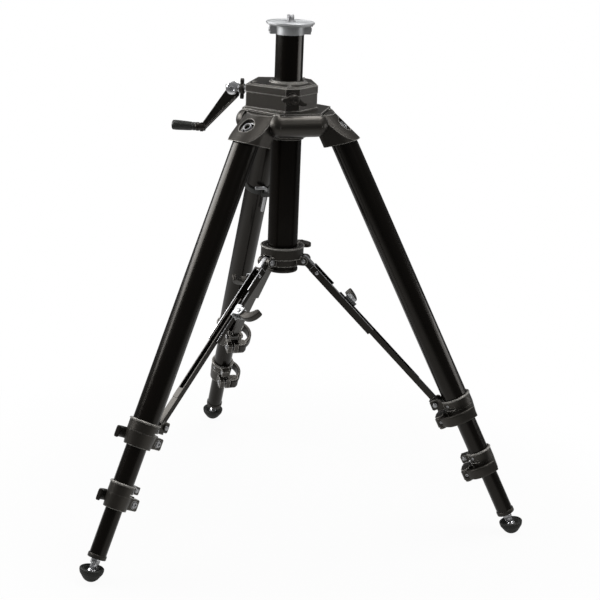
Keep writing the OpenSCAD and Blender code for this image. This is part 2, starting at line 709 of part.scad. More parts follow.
module foot_pad(az) color(rubber) on_tube(az)
    translate([0, 0, -foot_s]) rotate([0, leg_angle - pad_tilt, 0]) difference() {
        union() {
            sphere(r = sole_r);
            rotate_extrude() polygon([[0, 5.6], [pad_d / 2 - 0.8, 5.6], [pad_d / 2, 4.8],
                [pad_d / 2, 2.4], [pad_d / 2 - 0.8, -0.6], [sole_r * sin(52) + 0.6, -sole_r * cos(52) + 0.8],
                [sole_r * sin(44), -sole_r * cos(44)], [0, -sole_r * cos(44)]]);
        }
        rod(30, 5.6, 40);
        sphere(r = ball_d / 2 + fit);
        translate([0, 0, 1.6]) cylinder(h = 8, r1 = ball_d / 2 - 0.3, r2 = ball_d / 2 + 11);
        rod(pad_d / 2 - 2.6, 4.6, 9);
    }

// Brace channel: end tongue on the collar pin, open U below it, window for the lock
module brace_channel(az) color(black) in_brace(az) difference() {
    union() {
        cross(5.4, -fork_in + 0.6, fork_in - 0.6);
        block(brace_base, 3.6, -fork_in + 0.6, fork_in - 0.6, -17, 0);
        difference() {
            block(brace_base, brace_top, -channel_w / 2, channel_w / 2, -channel_length, -13);
            block(brace_base + channel_t, 20, -channel_w / 2 + channel_t, channel_w / 2 - channel_t,
                -channel_length - 1, -16);
        }
    }
    cross(brace_pin_d / 2 + fit, -20, 20);
    block(brace_top - 3.4, 20, 0, 20, -channel_length - 1, -48);
    translate([brace_top - 4.4, 0, -23]) cross(1.6, -20, 20);
}

// Lock bracket riveted on the side of the channel, with the hinge post of its lever
module brace_bracket(az) color(alloy) in_brace(az) {
    block(lock_x - 6.5, lock_x + 6.5, channel_w / 2, channel_w / 2 + 1.6, -lock_s - 9, -lock_s + 8);
    for (x = [lock_x - 6.5, lock_x + 4.9]) translate([x, 0, 0]) {
        block(0, 1.6, channel_w / 2, channel_w / 2 + 8, -lock_s - 5.6, -lock_s + 8);
        translate([0, channel_w / 2 + 8, -lock_s]) along(5.6, 0, 1.6);
        block(0, 1.6, channel_w / 2, channel_w / 2 + 13.6, -lock_s, -lock_s + 5.6);
    }
    translate([0, channel_w / 2 + 8, -lock_s]) along(2.2, lock_x - 6.5, lock_x + 6.5);
}

// Thumb lever of the lock: eye between the bracket's cheeks, curved blade
module brace_lever(az) color(black) in_brace(az)
    translate([lock_x - 4.5, channel_w / 2 + 8, -lock_s]) difference() {
        union() {
            along(4.6, 0, 9);
            rotate([90, 0, 90]) linear_extrude(9) polygon([[-1, -4.6], [6, -6.4], [12, -7.6],
                [19, -5.8], [25, -0.6], [28.4, 6.6], [27, 9.6], [22.6, 9.8], [18.8, 5.4], [13.4, 2.4],
                [7, 2.6], [1, 4.6]]);
        }
        along(2.2 + fit, -2, 12);
    }

// Sliding bar of the brace: U section, then a solid rod with the cross pin of the clamp lug
module brace_bar(az) color(black) in_brace(az) {
    difference() {
        block(brace_base + channel_t + 0.4, brace_top - 0.6, -bar_half, bar_half, -bar_end, -bar_start);
        block(brace_base + channel_t + 1.9, 20, -bar_half + 1.3, bar_half - 1.3,
            -bar_end + 14, -bar_start + 1);
    }
    block(rod_base, rod_base + 6.6, -bar_half, bar_half, -brace_length + 6, -bar_end + 1);
    block(-4.6, 4.6, -5, 5, -brace_length, -brace_length + 8);
    translate([0, 0, -brace_length]) {
        cross(5.4, -5.6, 5.6);
        cross(brace_pin_d / 2, -11, 11);
        for (s = [-1, 1]) translate([0, s * 11.2, 0]) cross(brace_pin_d / 2 + 1.3, -0.8, 0.8);
    }
}
bar_half = channel_w / 2 - channel_t - 0.5;
rod_base = brace_base + channel_t + 0.4;

// Spare L-shaped hex key in a clip on the inner side of the rear leg
key_s = 118;
key_y = -5.5;
key_r = 2.3;

module hex_bar(l) rotate([0, 0, 30]) cylinder(h = l, r = key_r, $fn = 6);

module at_key() on_tube(az_rear) translate([-upper_r - 4.6, key_y, -key_s]) children();

module hex_key() color(steel) at_key() {
    translate([0, 0, -40]) hex_bar(42);
    translate([0, -key_r, 0]) rotate([-90, 0, 0]) hex_bar(18);
}

module key_clip() color(rubber) difference() {
    union() {
        on_tube(az_rear) rod(upper_r + 2, -key_s - 13, -key_s - 6);
        at_key() block(-3.6, 6, -6, 6, -13, -6);
    }
    at_key() rod(key_r + fit, -20, 4);
    on_tube(az_rear) rod(upper_r, -key_s - 20, -key_s);
}

crown();
pivot_bolts();
sleeve();
collar();
collar_knob();
gear_case();
gear_cover();
lock_lever();
crank_shaft();
crank_arm();
crank_grip();
friction_wing();
column_tube();
column_rack();
head_plate();
head_stud();
hex_key();
key_clip();
casting(az_left);  // casting_left
upper_tube(az_left);  // upper_tube_left
upper_clamp(az_left);  // upper_clamp_left
upper_lever(az_left);  // upper_lever_left
middle_tube(az_left);  // middle_tube_left
lower_clamp(az_left);  // lower_clamp_left
lower_lever(az_left);  // lower_lever_left
lower_tube(az_left);  // lower_tube_left
foot_stem(az_left);  // foot_stem_left
foot_pad(az_left);  // foot_pad_left
brace_channel(az_left);  // brace_channel_left
brace_bracket(az_left);  // brace_bracket_left
brace_lever(az_left);  // brace_lever_left
brace_bar(az_left);  // brace_bar_left
casting(az_right);  // casting_right
upper_tube(az_right);  // upper_tube_right
upper_clamp(az_right);  // upper_clamp_right
upper_lever(az_right);  // upper_lever_right
middle_tube(az_right);  // middle_tube_right
lower_clamp(az_right);  // lower_clamp_right
lower_lever(az_right);  // lower_lever_right
lower_tube(az_right);  // lower_tube_right
foot_stem(az_right);  // foot_stem_right
foot_pad(az_right);  // foot_pad_right
brace_channel(az_right);  // brace_channel_right
brace_bracket(az_right);  // brace_bracket_right
brace_lever(az_right);  // brace_lever_right
brace_bar(az_right);  // brace_bar_right
casting(az_rear);  // casting_rear
upper_tube(az_rear);  // upper_tube_rear
upper_clamp(az_rear);  // upper_clamp_rear
upper_lever(az_rear);  // upper_lever_rear
middle_tube(az_rear);  // middle_tube_rear
lower_clamp(az_rear);  // lower_clamp_rear
lower_lever(az_rear);  // lower_lever_rear
lower_tube(az_rear);  // lower_tube_rear
foot_stem(az_rear);  // foot_stem_rear
foot_pad(az_rear);  // foot_pad_rear
brace_channel(az_rear);  // brace_channel_rear
brace_bracket(az_rear);  // brace_bracket_rear
brace_lever(az_rear);  // brace_lever_rear
brace_bar(az_rear);  // brace_bar_rear
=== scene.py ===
"""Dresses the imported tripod: finishes for its CAD parts, small hardware, and a studio stage."""

import json
import math

import bmesh
import bpy
from mathutils import Matrix, Vector


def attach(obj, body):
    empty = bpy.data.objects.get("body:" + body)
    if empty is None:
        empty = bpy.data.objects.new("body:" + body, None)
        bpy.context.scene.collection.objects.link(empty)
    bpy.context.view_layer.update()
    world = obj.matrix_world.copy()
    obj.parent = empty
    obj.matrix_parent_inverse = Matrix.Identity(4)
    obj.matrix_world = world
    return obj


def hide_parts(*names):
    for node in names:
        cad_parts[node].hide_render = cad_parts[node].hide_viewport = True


bl_info = {
    "name": "Geared tripod dressing",
    "version": (1, 0, 0),
    "blender": (4, 5, 0),
    "location": "3D View > Sidebar > Tripod",
    "description": "Finishes and small hardware for a geared column tripod",
    "category": "Object",
}

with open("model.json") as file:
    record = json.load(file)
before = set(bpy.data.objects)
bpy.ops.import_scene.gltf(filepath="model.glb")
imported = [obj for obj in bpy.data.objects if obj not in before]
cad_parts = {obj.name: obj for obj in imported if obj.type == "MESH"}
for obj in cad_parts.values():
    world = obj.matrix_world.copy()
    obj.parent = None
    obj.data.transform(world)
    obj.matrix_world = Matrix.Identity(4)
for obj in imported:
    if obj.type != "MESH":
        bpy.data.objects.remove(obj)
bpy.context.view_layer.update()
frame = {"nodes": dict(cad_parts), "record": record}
MM = 0.001

# Stance and stations, the same sizes as the solids, in millimetres and degrees
LEGS = {"left": 210.0, "right": 330.0, "rear": 90.0}
CRANK_AZIMUTH = 150.0
LEG_ANGLE, PIVOT_RADIUS, PIVOT_HEIGHT, LEG_OFFSET = 26.741, 47.5, 525.5, 12.84
COLUMN_R, SLEEVE_R, SLEEVE_FOOT = 17.5, 19.25, 330.0
PLATE_SEAT, PLATE_R, PLATE_T = 642.0, 30.0, 4.9
STUD_R, STUD_H = 4.76, 8.0
CROWN_TOP, CASE_TOP, COVER_TOP = 540.5, 561.2, 572.2
CASE_PLAN = [(47, -28), (47, 28), (-8, 49), (-23, 38), (-37.5, 0), (-23, -38), (-8, -49)]
CASE_SCREWS = [(38, 20), (-10, 38), (-28, 2), (-10, -40)]
LOCK_AT, LOCK_TURN = (-14.5, 44.2, 558.1), 126.2
NOSE_SHARE, NOSE_Z = 0.26, 549.0
SHAFT_V, SHAFT_Z, CRANK_HUB, CRANK_R, CRANK_LEAN = -21.862, 556.5, 76.0, 52.8, 39.0
GRIP_START, NUT_AT = 9.4, CRANK_HUB - 11.7
UPPER_R, MIDDLE_R, LOWER_R, CLAMP_WALL = 16.25, 12.85, 10.6, 2.7
CLAMPS = {"upper": (390.5, UPPER_R, MIDDLE_R), "lower": (469.0, MIDDLE_R, LOWER_R)}
RING_H, RING_SLOT, SPLIT_H, EAR_W, EAR_OUT, POST_OUT = 10.4, 2.2, 19.8, 16.0, 7.4, 6.9
LEVER_T, LEVER_HALF, LEVER_REACH, LEVER_START, LEVER_END = 4.8, 6.2, 23.6, 3.0, 331.0
FACE_TILT, FACE_CREST, RECESS_S, RECESS_FLOOR = 22.3, 17.1, 20.0, 4.1
SOCKET_R, SCREW_R, SCREW_TOP = 4.3, 5.6, 15.3
COLLAR_R, COLLAR_TOP, FORK_OUT = 27.5, 363.5, 9.5
KNOB_AZIMUTH, KNOB_Z = 30.0, COLLAR_TOP - 5.6
BRACE_PIN_R, BRACE_PIN_Z, BRACE_ANGLE, BRACE_LENGTH = 30.0, 345.5, 45.981, 252.21
CHANNEL_W, CHANNEL_T, CHANNEL_LENGTH, BRACE_TOP, BRACE_BASE = 12.4, 1.4, 126.0, 6.0, -3.6
LOCK_S, LOCK_X = 79.0, 2.0
FOOT_S, STEM_OUT, PAD_TILT, PAD_R = 581.6, 17.6, 10.7, 14.8
KEY_S, KEY_Y, KEY_R = 118.0, -5.5, 2.3

# Depth of the stud's thread as a share of its pitch, and rows and sides of the stud's mesh
THREAD_DEPTH, THREAD_ROWS, THREAD_SIDES = 0.61, 96, 40

# Edges sharper than these angles, in degrees, are bevelled and stay crisp in the shading
BEVEL_ANGLE, SHARP_ANGLE = 35.0, 38.0


# Frames

def turn(degrees, axis="Z"):
    return Matrix.Rotation(math.radians(degrees), 4, axis)


def shift(x=0.0, y=0.0, z=0.0):
    return Matrix.Translation((x, y, z))


def leg_frame(azimuth, offset=0.0):
    """x outward from the leg, y round the column, z up along the leg, in millimetres."""
    return turn(azimuth) @ shift(PIVOT_RADIUS, 0, PIVOT_HEIGHT) @ turn(-LEG_ANGLE, "Y") @ shift(offset)


def tube_frame(azimuth):
    return leg_frame(azimuth, LEG_OFFSET)


def brace_frame(azimuth):
    """x square to the brace, y across it, z up along it, from its collar pin."""
    return turn(azimuth) @ shift(BRACE_PIN_R, 0, BRACE_PIN_Z) @ turn(-BRACE_ANGLE, "Y")


def shaft_frame():
    """x along the crank shaft, away from the column."""
    return turn(CRANK_AZIMUTH) @ shift(0, SHAFT_V, SHAFT_Z)


def lock_frame():
    return turn(CRANK_AZIMUTH) @ shift(*LOCK_AT) @ turn(LOCK_TURN)


# Turn a form's z axis to x or y, and a drawn outline into the y-z or x-z plane
TO_X, TO_Y = turn(90, "Y"), turn(-90, "X")
PLANE_YZ = Matrix(((0, 0, 1, 0), (1, 0, 0, 0), (0, 1, 0, 0), (0, 0, 0, 1)))
PLANE_XZ = Matrix(((1, 0, 0, 0), (0, 0, -1, 0), (0, 1, 0, 0), (0, 0, 0, 1)))


# Shapes

def ring(radius, height, sides=48, flutes=0, depth=0.0):
    """Circle of points at a height, with shallow flutes if asked; nought radius gives one point."""
    if radius < 1e-6:
        return [(0.0, 0.0, height)]
    points = []
    for i in range(sides):
        a = 2 * math.pi * i / sides
        r = radius - depth * (0.5 + 0.5 * math.cos(flutes * a))
        points.append((r * math.cos(a), r * math.sin(a), height))
    return points


def softened(outline, rounds=2):
    """Cut the corners of a closed outline until it reads as a curve."""
    for _ in range(rounds):
        cut = []
        for p, q in zip(outline, outline[1:] + outline[:1]):
            cut += [tuple(0.75 * a + 0.25 * b for a, b in zip(p, q)),
                    tuple(0.25 * a + 0.75 * b for a, b in zip(p, q))]
        outline = cut
    return outline


def arc(centre, radius, start, end, steps):
    """Points on part of a circle, angles in degrees."""
    angles = [math.radians(start + (end - start) * i / steps) for i in range(steps + 1)]
    return [(centre[0] + radius * math.cos(a), centre[1] + radius * math.sin(a)) for a in angles]


def toward(degrees):
    """Unit vector in the x-y plane."""
    a = math.radians(degrees)
    return Vector((math.cos(a), math.sin(a), 0))


def superellipse(centre, out, up, half_out, half_up, power=5.0, sides=28):
    """Rounded-rectangle section in the plane of two directions."""
    points = []
    for i in range(sides):
        c, s = (f(2 * math.pi * (i + 0.5) / sides) for f in (math.cos, math.sin))
        u, v = (math.copysign(abs(w) ** (2 / power), w) for w in (c, s))
        points.append(centre + out * (half_out * u) + up * (half_up * v))
    return points


class Form:
    """Closed surfaces in millimetres, gathered into one mesh."""

    def __init__(self, place=None):
        self.mesh = bmesh.new()
        self.place = place or shift()

    def skin(self, rings, place=None, loop=False):
        """Surface through rings of points; a ring of one point closes an end."""
        at = self.place @ (place or shift())
        rows = [[self.mesh.verts.new(at @ Vector(point)) for point in points] for points in rings]
        for low, high in zip(rows, rows[1:] + rows[:1] if loop else rows[1:]):
            count = max(len(low), len(high))
            for i in range(count):
                j = (i + 1) % count
                corners = (low[i % len(low)], low[j % len(low)], high[j % len(high)], high[i % len(high)])
                self.mesh.faces.new(list(dict.fromkeys(corners)))
        if not loop:
            for end in (rows[0], rows[-1]):
                if len(end) > 2:
                    self.mesh.faces.new(end)
        return self

    def lathe(self, profile, place=None, sides=48):
        """Solid of revolution from (radius, height) pairs."""
        return self.skin([ring(r, z, sides) for r, z in profile], place)

    def hoop(self, section, place=None, sides=48):
        """Ring round the z axis whose closed section is given as (radius, height) pairs."""
        return self.skin([ring(r, z, sides) for r, z in section], place, True)

    def rod(self, radius, low, high, place=None, sides=48):
        """Plain cylinder round the z axis."""
        return self.lathe([(0, low), (radius, low), (radius, high), (0, high)], place, sides)

    def prism(self, outline, low, high, place=None):
        return self.skin([[(x, y, z) for x, y in outline] for z in (low, high)], place)

    def bar(self, x0, x1, y0, y1, z0, z1, place=None):
        return self.prism([(x0, y0), (x1, y0), (x1, y1), (x0, y1)], z0, z1, place)

    def hexagon(self, across, low, high):
        """Hexagonal prism, measured across its flats."""
        return self.skin([ring(across / math.sqrt(3), z, 6) for z in (low, high)])

    def wire(self, path, radius, side, sides=10):
        """Bar of constant section along a path that lies in the plane square to side."""
        path, side = [Vector(p) for p in path], Vector(side).normalized()
        rings = []
        for i, point in enumerate(path):
            ahead = (path[min(i + 1, len(path) - 1)] - path[max(i - 1, 0)]).normalized()
            across = side.cross(ahead)
            rings.append([point + side * (radius * math.cos(a)) + across * (radius * math.sin(a))
                          for a in (2 * math.pi * (k + 0.5) / sides for k in range(sides))])
        return self.skin(rings)

    def screw(self, radius, height, place=None, socket=0.5):
        """Round screw head standing on z = 0, with a socket of that share of its radius in its top."""
        hole, floor, shoulder = radius * socket, height * 0.35, height * 0.75
        return self.lathe([(0, 0), (radius, 0), (radius, shoulder), (radius * 0.82, height),
                           (hole, height), (hole, floor), (0, floor)], place, 32)

    def rivet(self, radius, height, place=None):
        """Domed head standing on z = 0."""
        rise = [(radius * math.cos(a), height * math.sin(a)) for a in (0.0, 0.35, 0.7, 1.0, 1.3)]
        return self.lathe([(0, -0.4), (radius, -0.4)] + rise + [(0, height)], place, 28)

    def pin(self, radius, height, reach, place):
        """Domed heads on both ends of a pin along y that reaches as far to either side."""
        self.rivet(radius, height, place @ shift(0, reach) @ TO_Y)
        self.rivet(radius, height, place @ shift(0, -reach) @ TO_Y @ turn(180, "X"))

    def make(self, name, body, slot, bevel=0.0, replaces=(), cut=(), segments=3):
        """Turn the form into a finished piece that rides on a body."""
        item = self.raw(name)
        for i, form in enumerate(cut):
            tool = form.raw(f"{name}_tool_{i}")
            hole = item.modifiers.new("hole", "BOOLEAN")
            hole.operation, hole.solver, hole.object, hole.use_self = "DIFFERENCE", "EXACT", tool, True
            settle(item)
            bpy.data.objects.remove(tool)
        if bevel:
            soften = item.modifiers.new("edges", "BEVEL")
            soften.limit_method, soften.angle_limit = "ANGLE", math.radians(BEVEL_ANGLE)
            soften.width, soften.segments = bevel * MM, segments
            settle(item)
        if not item.data.polygons:
            raise RuntimeError(f"{name} has no surface left")
        item.data.shade_smooth()
        item.data.set_sharp_from_angle(angle=math.radians(SHARP_ANGLE))
        item.data.materials.append(slot_material(slot))
        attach(item, body)
        if replaces:
            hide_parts(*replaces)

    def raw(self, name):
        bmesh.ops.recalc_face_normals(self.mesh, faces=self.mesh.faces[:])
        self.mesh.transform(Matrix.Scale(MM, 4))
        mesh = bpy.data.meshes.new(name)
        self.mesh.to_mesh(mesh)
        self.mesh.free()
        return new_object(name, mesh)


def new_object(name, data):
    item = bpy.data.objects.new(name, data)
    bpy.context.scene.collection.objects.link(item)
    return item


def settle(item):
    """Apply the modifiers of a piece."""
    shaped = bpy.data.meshes.new_from_object(item.evaluated_get(bpy.context.evaluated_depsgraph_get()))
    item.modifiers.clear()
    old, item.data = item.data, shaped
    shaped.name = item.name
    bpy.data.meshes.remove(old)


# Shader maths

class Value:
    """One output socket. Arithmetic on a number adds Math nodes; colours use mix and vectors use dot."""

    def __init__(self, graph, socket):
        self.graph = graph
        self.socket = socket

    def _join(self, operation, other):
        return self.graph.node("Math", {"operation": operation}, {0: self, 1: other})

    def __add__(self, other):
        return self._join("ADD", other)

    def __sub__(self, other):
        return self._join("SUBTRACT", other)

    def __mul__(self, other):
        return self._join("MULTIPLY", other)

    def __pow__(self, other):
        return self._join("POWER", other)

    __radd__ = __add__
    __rmul__ = __mul__

    def __rsub__(self, other):
        return self.graph.node("Math", {"operation": "SUBTRACT"}, {0: other, 1: self})

    def most(self, other):
        return self._join("MAXIMUM", other)

    def dot(self, vector):
        settings = {"operation": "DOT_PRODUCT"}
        return self.graph.node("VectorMath", settings, {0: self, 1: vector}, 1)

    def ramp(self, low, high, start=0.0, end=1.0):
        """Smooth step of this value from low..high to start..end."""
        settings = {"interpolation_type": "SMOOTHSTEP"}
        return self.graph.node("MapRange", settings, {0: self, 1: low, 2: high, 3: start, 4: end})


class Graph:
    """The node tree of a new material, or a tree that is given, with one method that adds any node."""

    def __init__(self, name=None, tree=None):
        if tree is None:
            self.material = bpy.data.materials.new(name)
            self.material.use_nodes = True
            tree = self.material.node_tree
        self.tree = tree
        self.tree.nodes.clear()
        if name:
            # Object coordinates, in metres
            self.place = self.node("TexCoord", output=3)

    def node(self, kind, settings=None, inputs=None, output=0):
        """Add a shader node, link the values among its inputs and give back one of its outputs."""
        made = self.tree.nodes.new("ShaderNode" + kind)
        for key, value in (settings or {}).items():
            setattr(made, key, value)
        for key, value in (inputs or {}).items():
            socket = made.inputs[key]
            if isinstance(value, Value):
                self.tree.links.new(value.socket, socket)
            elif socket.type == "RGBA" and len(value) == 3:
                socket.default_value = (*value, 1.0)
            else:
                socket.default_value = value
        return None if output is None else Value(self, made.outputs[output])

    def vector(self, x, y, z):
        return self.node("CombineXYZ", None, {0: x, 1: y, 2: z})

    def noise(self, scale, detail=2.0, roughness=0.5, at=None):
        inputs = {"Vector": at or self.place, "Scale": scale, "Detail": detail, "Roughness": roughness}
        return self.node("TexNoise", None, inputs)

    def cells(self, scale):
        return self.node("TexVoronoi", None, {"Vector": self.place, "Scale": scale})

    def mix(self, factor, first, second):
        return self.node("Mix", {"data_type": "RGBA"}, {0: factor, 6: first, 7: second}, 2)

    def relief(self, height, distance, strength, radius):
        """Normal bent by a height, over edges rounded to a radius; distance and radius in millimetres."""
        soft = self.rounded(radius)
        inputs = {"Height": height, "Distance": distance * MM, "Strength": strength, "Normal": soft}
        return self.node("Bump", None, inputs)

    def rounded(self, radius):
        """Normal that runs smoothly over sharp edges, by a radius in millimetres."""
        return self.node("Bevel", {"samples": 4}, {"Radius": radius * MM})

    def edge(self, radius, low, high):
        """One on sharp edges and nought on flat faces."""
        face = self.node("NewGeometry", output=3)
        return (1.0 - face.dot(self.rounded(radius))).ramp(low, high)

    def finish(self, **inputs):
        """Principled surface; its sockets are named with spaces as underscores."""
        names = {key.replace("_", " "): value for key, value in inputs.items()}
        surface = self.node("BsdfPrincipled", None, names)
        self.node("OutputMaterial", None, {"Surface": surface}, None)
        return self.material


# Finishes

# Tint of the reflections on the black parts
WARM_SHEEN = (1.0, 0.93, 0.84)


def scaled(colour, k, lift=0.0):
    return tuple(min(1.0, c * k + lift) for c in colour)


def powder_coat(name, colour, rough=0.38):
    """Satin powder coat on a casting: fine orange-peel grain, and edges lightened by a painted highlight,
    with patchy chips along them.
    """
    g = Graph(name)
    fine = g.noise(1700.0, 2.0, 0.6)
    broad = g.noise(90.0, 3.0)
    # Sharp edges, which get a painted highlight in the colour below and are a little smoother
    edge_highlight = g.edge(1.8, 0.008, 0.12)
    chips_and_highlight = edge_highlight * g.noise(420.0, 3.0).ramp(0.5, 0.66)
    base = g.mix(broad, scaled(colour, 0.8), scaled(colour, 1.35))
    # Light grey on the edges is a painted highlight, stronger in the chips
    base = g.mix(edge_highlight * 0.7 + chips_and_highlight * 0.3, base, (0.66, 0.64, 0.60))
    height = fine * 0.6 + g.noise(620.0, 1.0)
    return g.finish(Base_Color=base, Roughness=rough - 0.06 + 0.14 * fine - 0.08 * edge_highlight,
                    Specular_IOR_Level=0.6, Specular_Tint=WARM_SHEEN,
                    Normal=g.relief(height, 0.14, 0.7, 1.3))


def tube_lacquer(name, colour, azimuth, rough=0.2):
    """Gloss black anodised tube: fine draw streaks along its axis and a faint haze."""
    g = Graph(name)
    axes = leg_frame(azimuth).to_3x3() if azimuth is not None else Matrix.Identity(3)
    along, across, side = (g.place.dot(tuple(axes.col[i])) for i in (2, 0, 1))
    streaks = g.noise(420.0, 4.0, 0.7, g.vector(along * 0.015, across, side))
    haze = g.noise(28.0, 4.0)
    handled = g.noise(9.0).ramp(0.5, 0.75)
    base = g.mix(haze * 0.5 + streaks * 0.5, scaled(colour, 0.6), scaled(colour, 1.8))
    return g.finish(Base_Color=base, Roughness=rough + 0.10 * streaks * haze + 0.05 * handled,
                    Coat_Weight=0.04 + 0.08 * handled, Coat_Roughness=0.08,
                    Specular_IOR_Level=0.26, Specular_Tint=WARM_SHEEN)


def moulded_nylon(name, colour, rough=0.36):
    """Moulded nylon of the levers and knobs: slight spark-eroded grain, and edges lightened by a painted
    highlight.
    """
    g = Graph(name)
    grain = g.cells(1300.0)
    patch = g.noise(70.0, 3.0)
    edge_highlight = g.edge(0.7, 0.03, 0.3)
    # Lighter edges are a painted highlight; random patches are lighter too
    base = g.mix(edge_highlight * 0.5 + 0.2 * patch, colour, scaled(colour, 3.0, 0.02))
    return g.finish(Base_Color=base, Roughness=rough + 0.12 * patch,
                    Specular_IOR_Level=0.45, Specular_Tint=WARM_SHEEN,
                    Normal=g.relief(grain, 0.03, 0.5, 0.9))


def enamel_sheet(name, colour, rough=0.26):
    """Semi-gloss enamel on the brace steel, worn to metal in scuffs on its edges, which a painted highlight
    also lightens.
    """
    g = Graph(name)
    peel = g.noise(420.0)
    edge = g.edge(0.5, 0.05, 0.35)
    scuff = edge * g.noise(300.0).ramp(0.46, 0.6)
    # Grey on the edges: painted highlight, and worn metal in the scuffs
    base = g.mix(edge * 0.35 + scuff * 0.5, colour, (0.30, 0.30, 0.29))
    return g.finish(Base_Color=base, Roughness=rough + 0.1 * peel, Metallic=scuff * 0.6,
                    Specular_IOR_Level=0.4, Specular_Tint=WARM_SHEEN,
                    Normal=g.relief(peel, 0.03, 0.5, 0.5))


def foot_rubber(name, colour):
    """Matt rubber with scuffed, dusty lower edges."""
    g = Graph(name)
    grain = g.noise(900.0, 3.0, 0.65)
    height = g.node("SeparateXYZ", None, {0: g.place}, 2)
    dust = height.ramp(0.0, 0.012, 1.0, 0.0) * g.noise(160.0, 3.0).ramp(0.4, 0.7)
    base = g.mix(dust * 0.4, g.mix(grain, colour, scaled(colour, 1.5)), (0.13, 0.125, 0.12))
    return g.finish(Base_Color=base, Roughness=0.5 + 0.2 * grain, Specular_IOR_Level=0.3,
                    Normal=g.relief(grain, 0.1, 0.6, 0.8))


def grip_plastic(name, colour, rough=0.3):
    """Hard plastic of the crank grip: given a polish on its edges by the hand, dull in its flutes; a
    painted highlight also lightens those edges.
    """
    g = Graph(name)
    patch = g.noise(60.0)
    polish_and_highlight = g.edge(0.5, 0.01, 0.2)
    # Lighter edges are a painted highlight; random patches are lighter too
    return g.finish(Base_Color=g.mix(patch * 0.6 + polish_and_highlight * 0.4, colour, scaled(colour, 2.4, 0.008)),
                    Roughness=rough + 0.12 * patch - 0.1 * polish_and_highlight, Specular_IOR_Level=0.4,
                    Normal=g.relief(g.noise(1400.0), 0.03, 0.4, 0.6))


def bright_chrome(name, colour, rough=0.06):
    """Bright chrome with a little clouding where fingers touch it."""
    g = Graph(name)
    cloud = g.noise(240.0, 3.0)
    return g.finish(Base_Color=g.mix(cloud, colour, scaled(colour, 0.9)), Metallic=0.85,
                    Roughness=rough + 0.05 * cloud.ramp(0.4, 0.8))


def spun_aluminium(name, colour, rough=0.34):
    """Cast and turned aluminium: rings round the column axis, sandy grain and dark pores."""
    g = Graph(name)
    apart, ahead = (g.node("SeparateXYZ", None, {0: g.place}, i) for i in (0, 1))
    radius = (apart * apart + ahead * ahead) ** 0.5
    rings = g.noise(1500.0, at=g.vector(radius, 0.0, 0.0))
    sand = g.noise(1100.0, 3.0, 0.65)
    pores = g.cells(700.0).ramp(0.18, 0.05)
    base = g.mix(sand * 0.5 + rings * 0.5, colour, scaled(colour, 0.66))
    base = g.mix(pores * 0.5, base, (0.12, 0.12, 0.12))
    return g.finish(Base_Color=base, Metallic=0.45, Roughness=rough + 0.2 * sand,
                    Normal=g.relief(rings * 0.6 + sand * 0.6 - pores * 0.5, 0.04, 0.7, 0.6))


def zinc_plate(name, colour, rough=0.22):
    """Bright zinc plating with a crystalline bloom."""
    g = Graph(name)
    bloom = g.noise(500.0, 4.0, 0.6)
    return g.finish(Base_Color=g.mix(bloom, colour, scaled(colour, 0.68)), Metallic=0.6,
                    Roughness=rough + 0.15 * bloom, Normal=g.relief(bloom, 0.02, 0.4, 0.4))


FINISHES = {
    "satin_casting": (powder_coat, "casting"), "gloss_tube": (tube_lacquer, "tube"),
    "nylon_lever": (moulded_nylon, "lever"), "black_sheet": (enamel_sheet, "brace"),
    "foot_rubber": (foot_rubber, "rubber"), "grip_plastic": (grip_plastic, "grip"),
    "chrome_steel": (bright_chrome, "chrome"), "bare_aluminium": (spun_aluminium, "aluminium"),
    "zinc_steel": (zinc_plate, "zinc"),
}


# Settings

def colour_setting(name, description, default):
    return bpy.props.FloatVectorProperty(name=name, description=description, default=default,
                                         subtype="COLOR", size=3, min=0.0, max=1.0)


def number_setting(name, description, default, **options):
    return bpy.props.FloatProperty(name=name, description=description, default=default, **options)


def count_setting(name, description, default, low, high):
    return bpy.props.IntProperty(name=name, description=description, default=default, min=low, max=high)


class TripodFinishSettings(bpy.types.PropertyGroup):
    casting: colour_setting("Casting", "Powder coat of the crown, clamps and housing",
                            (0.0085, 0.0075, 0.0061))
    tube: colour_setting("Tube", "Anodised leg and column tubes", (0.0022, 0.0016, 0.0011))
    lever: colour_setting("Lever", "Moulded levers and knobs", (0.0088, 0.0078, 0.0066))
    brace: colour_setting("Brace", "Enamelled brace steel", (0.0052, 0.0045, 0.0037))
    grip: colour_setting("Grip", "Crank grip and key clip", (0.012, 0.0125, 0.011))
    rubber: colour_setting("Rubber", "Foot pads", (0.013, 0.0135, 0.012))
    chrome: colour_setting("Chrome", "Crank shaft and foot stems", (0.82, 0.82, 0.84))
    aluminium: colour_setting("Aluminium", "Head plate and lock brackets", (0.64, 0.65, 0.66))
    zinc: colour_setting("Zinc", "Bolts, pins and nuts", (0.5, 0.5, 0.51))


class TripodHardwareSettings(bpy.types.PropertyGroup):
    thread_pitch: number_setting("Thread pitch", "Pitch of the head stud's thread", 0.0015875,
                                 min=0.0008, max=0.003, precision=5, unit="LENGTH")
    grip_flutes: count_setting("Grip flutes", "Shallow flutes round the crank grip", 22, 8, 40)
    edge_round: number_setting("Edge rounding", "Radius on moulded lever edges", 0.0012,
                               min=0.0003, max=0.002, precision=5, unit="LENGTH")
    pad_ribs: count_setting("Pad ribs", "Ribs inside each foot pad", 8, 4, 16)


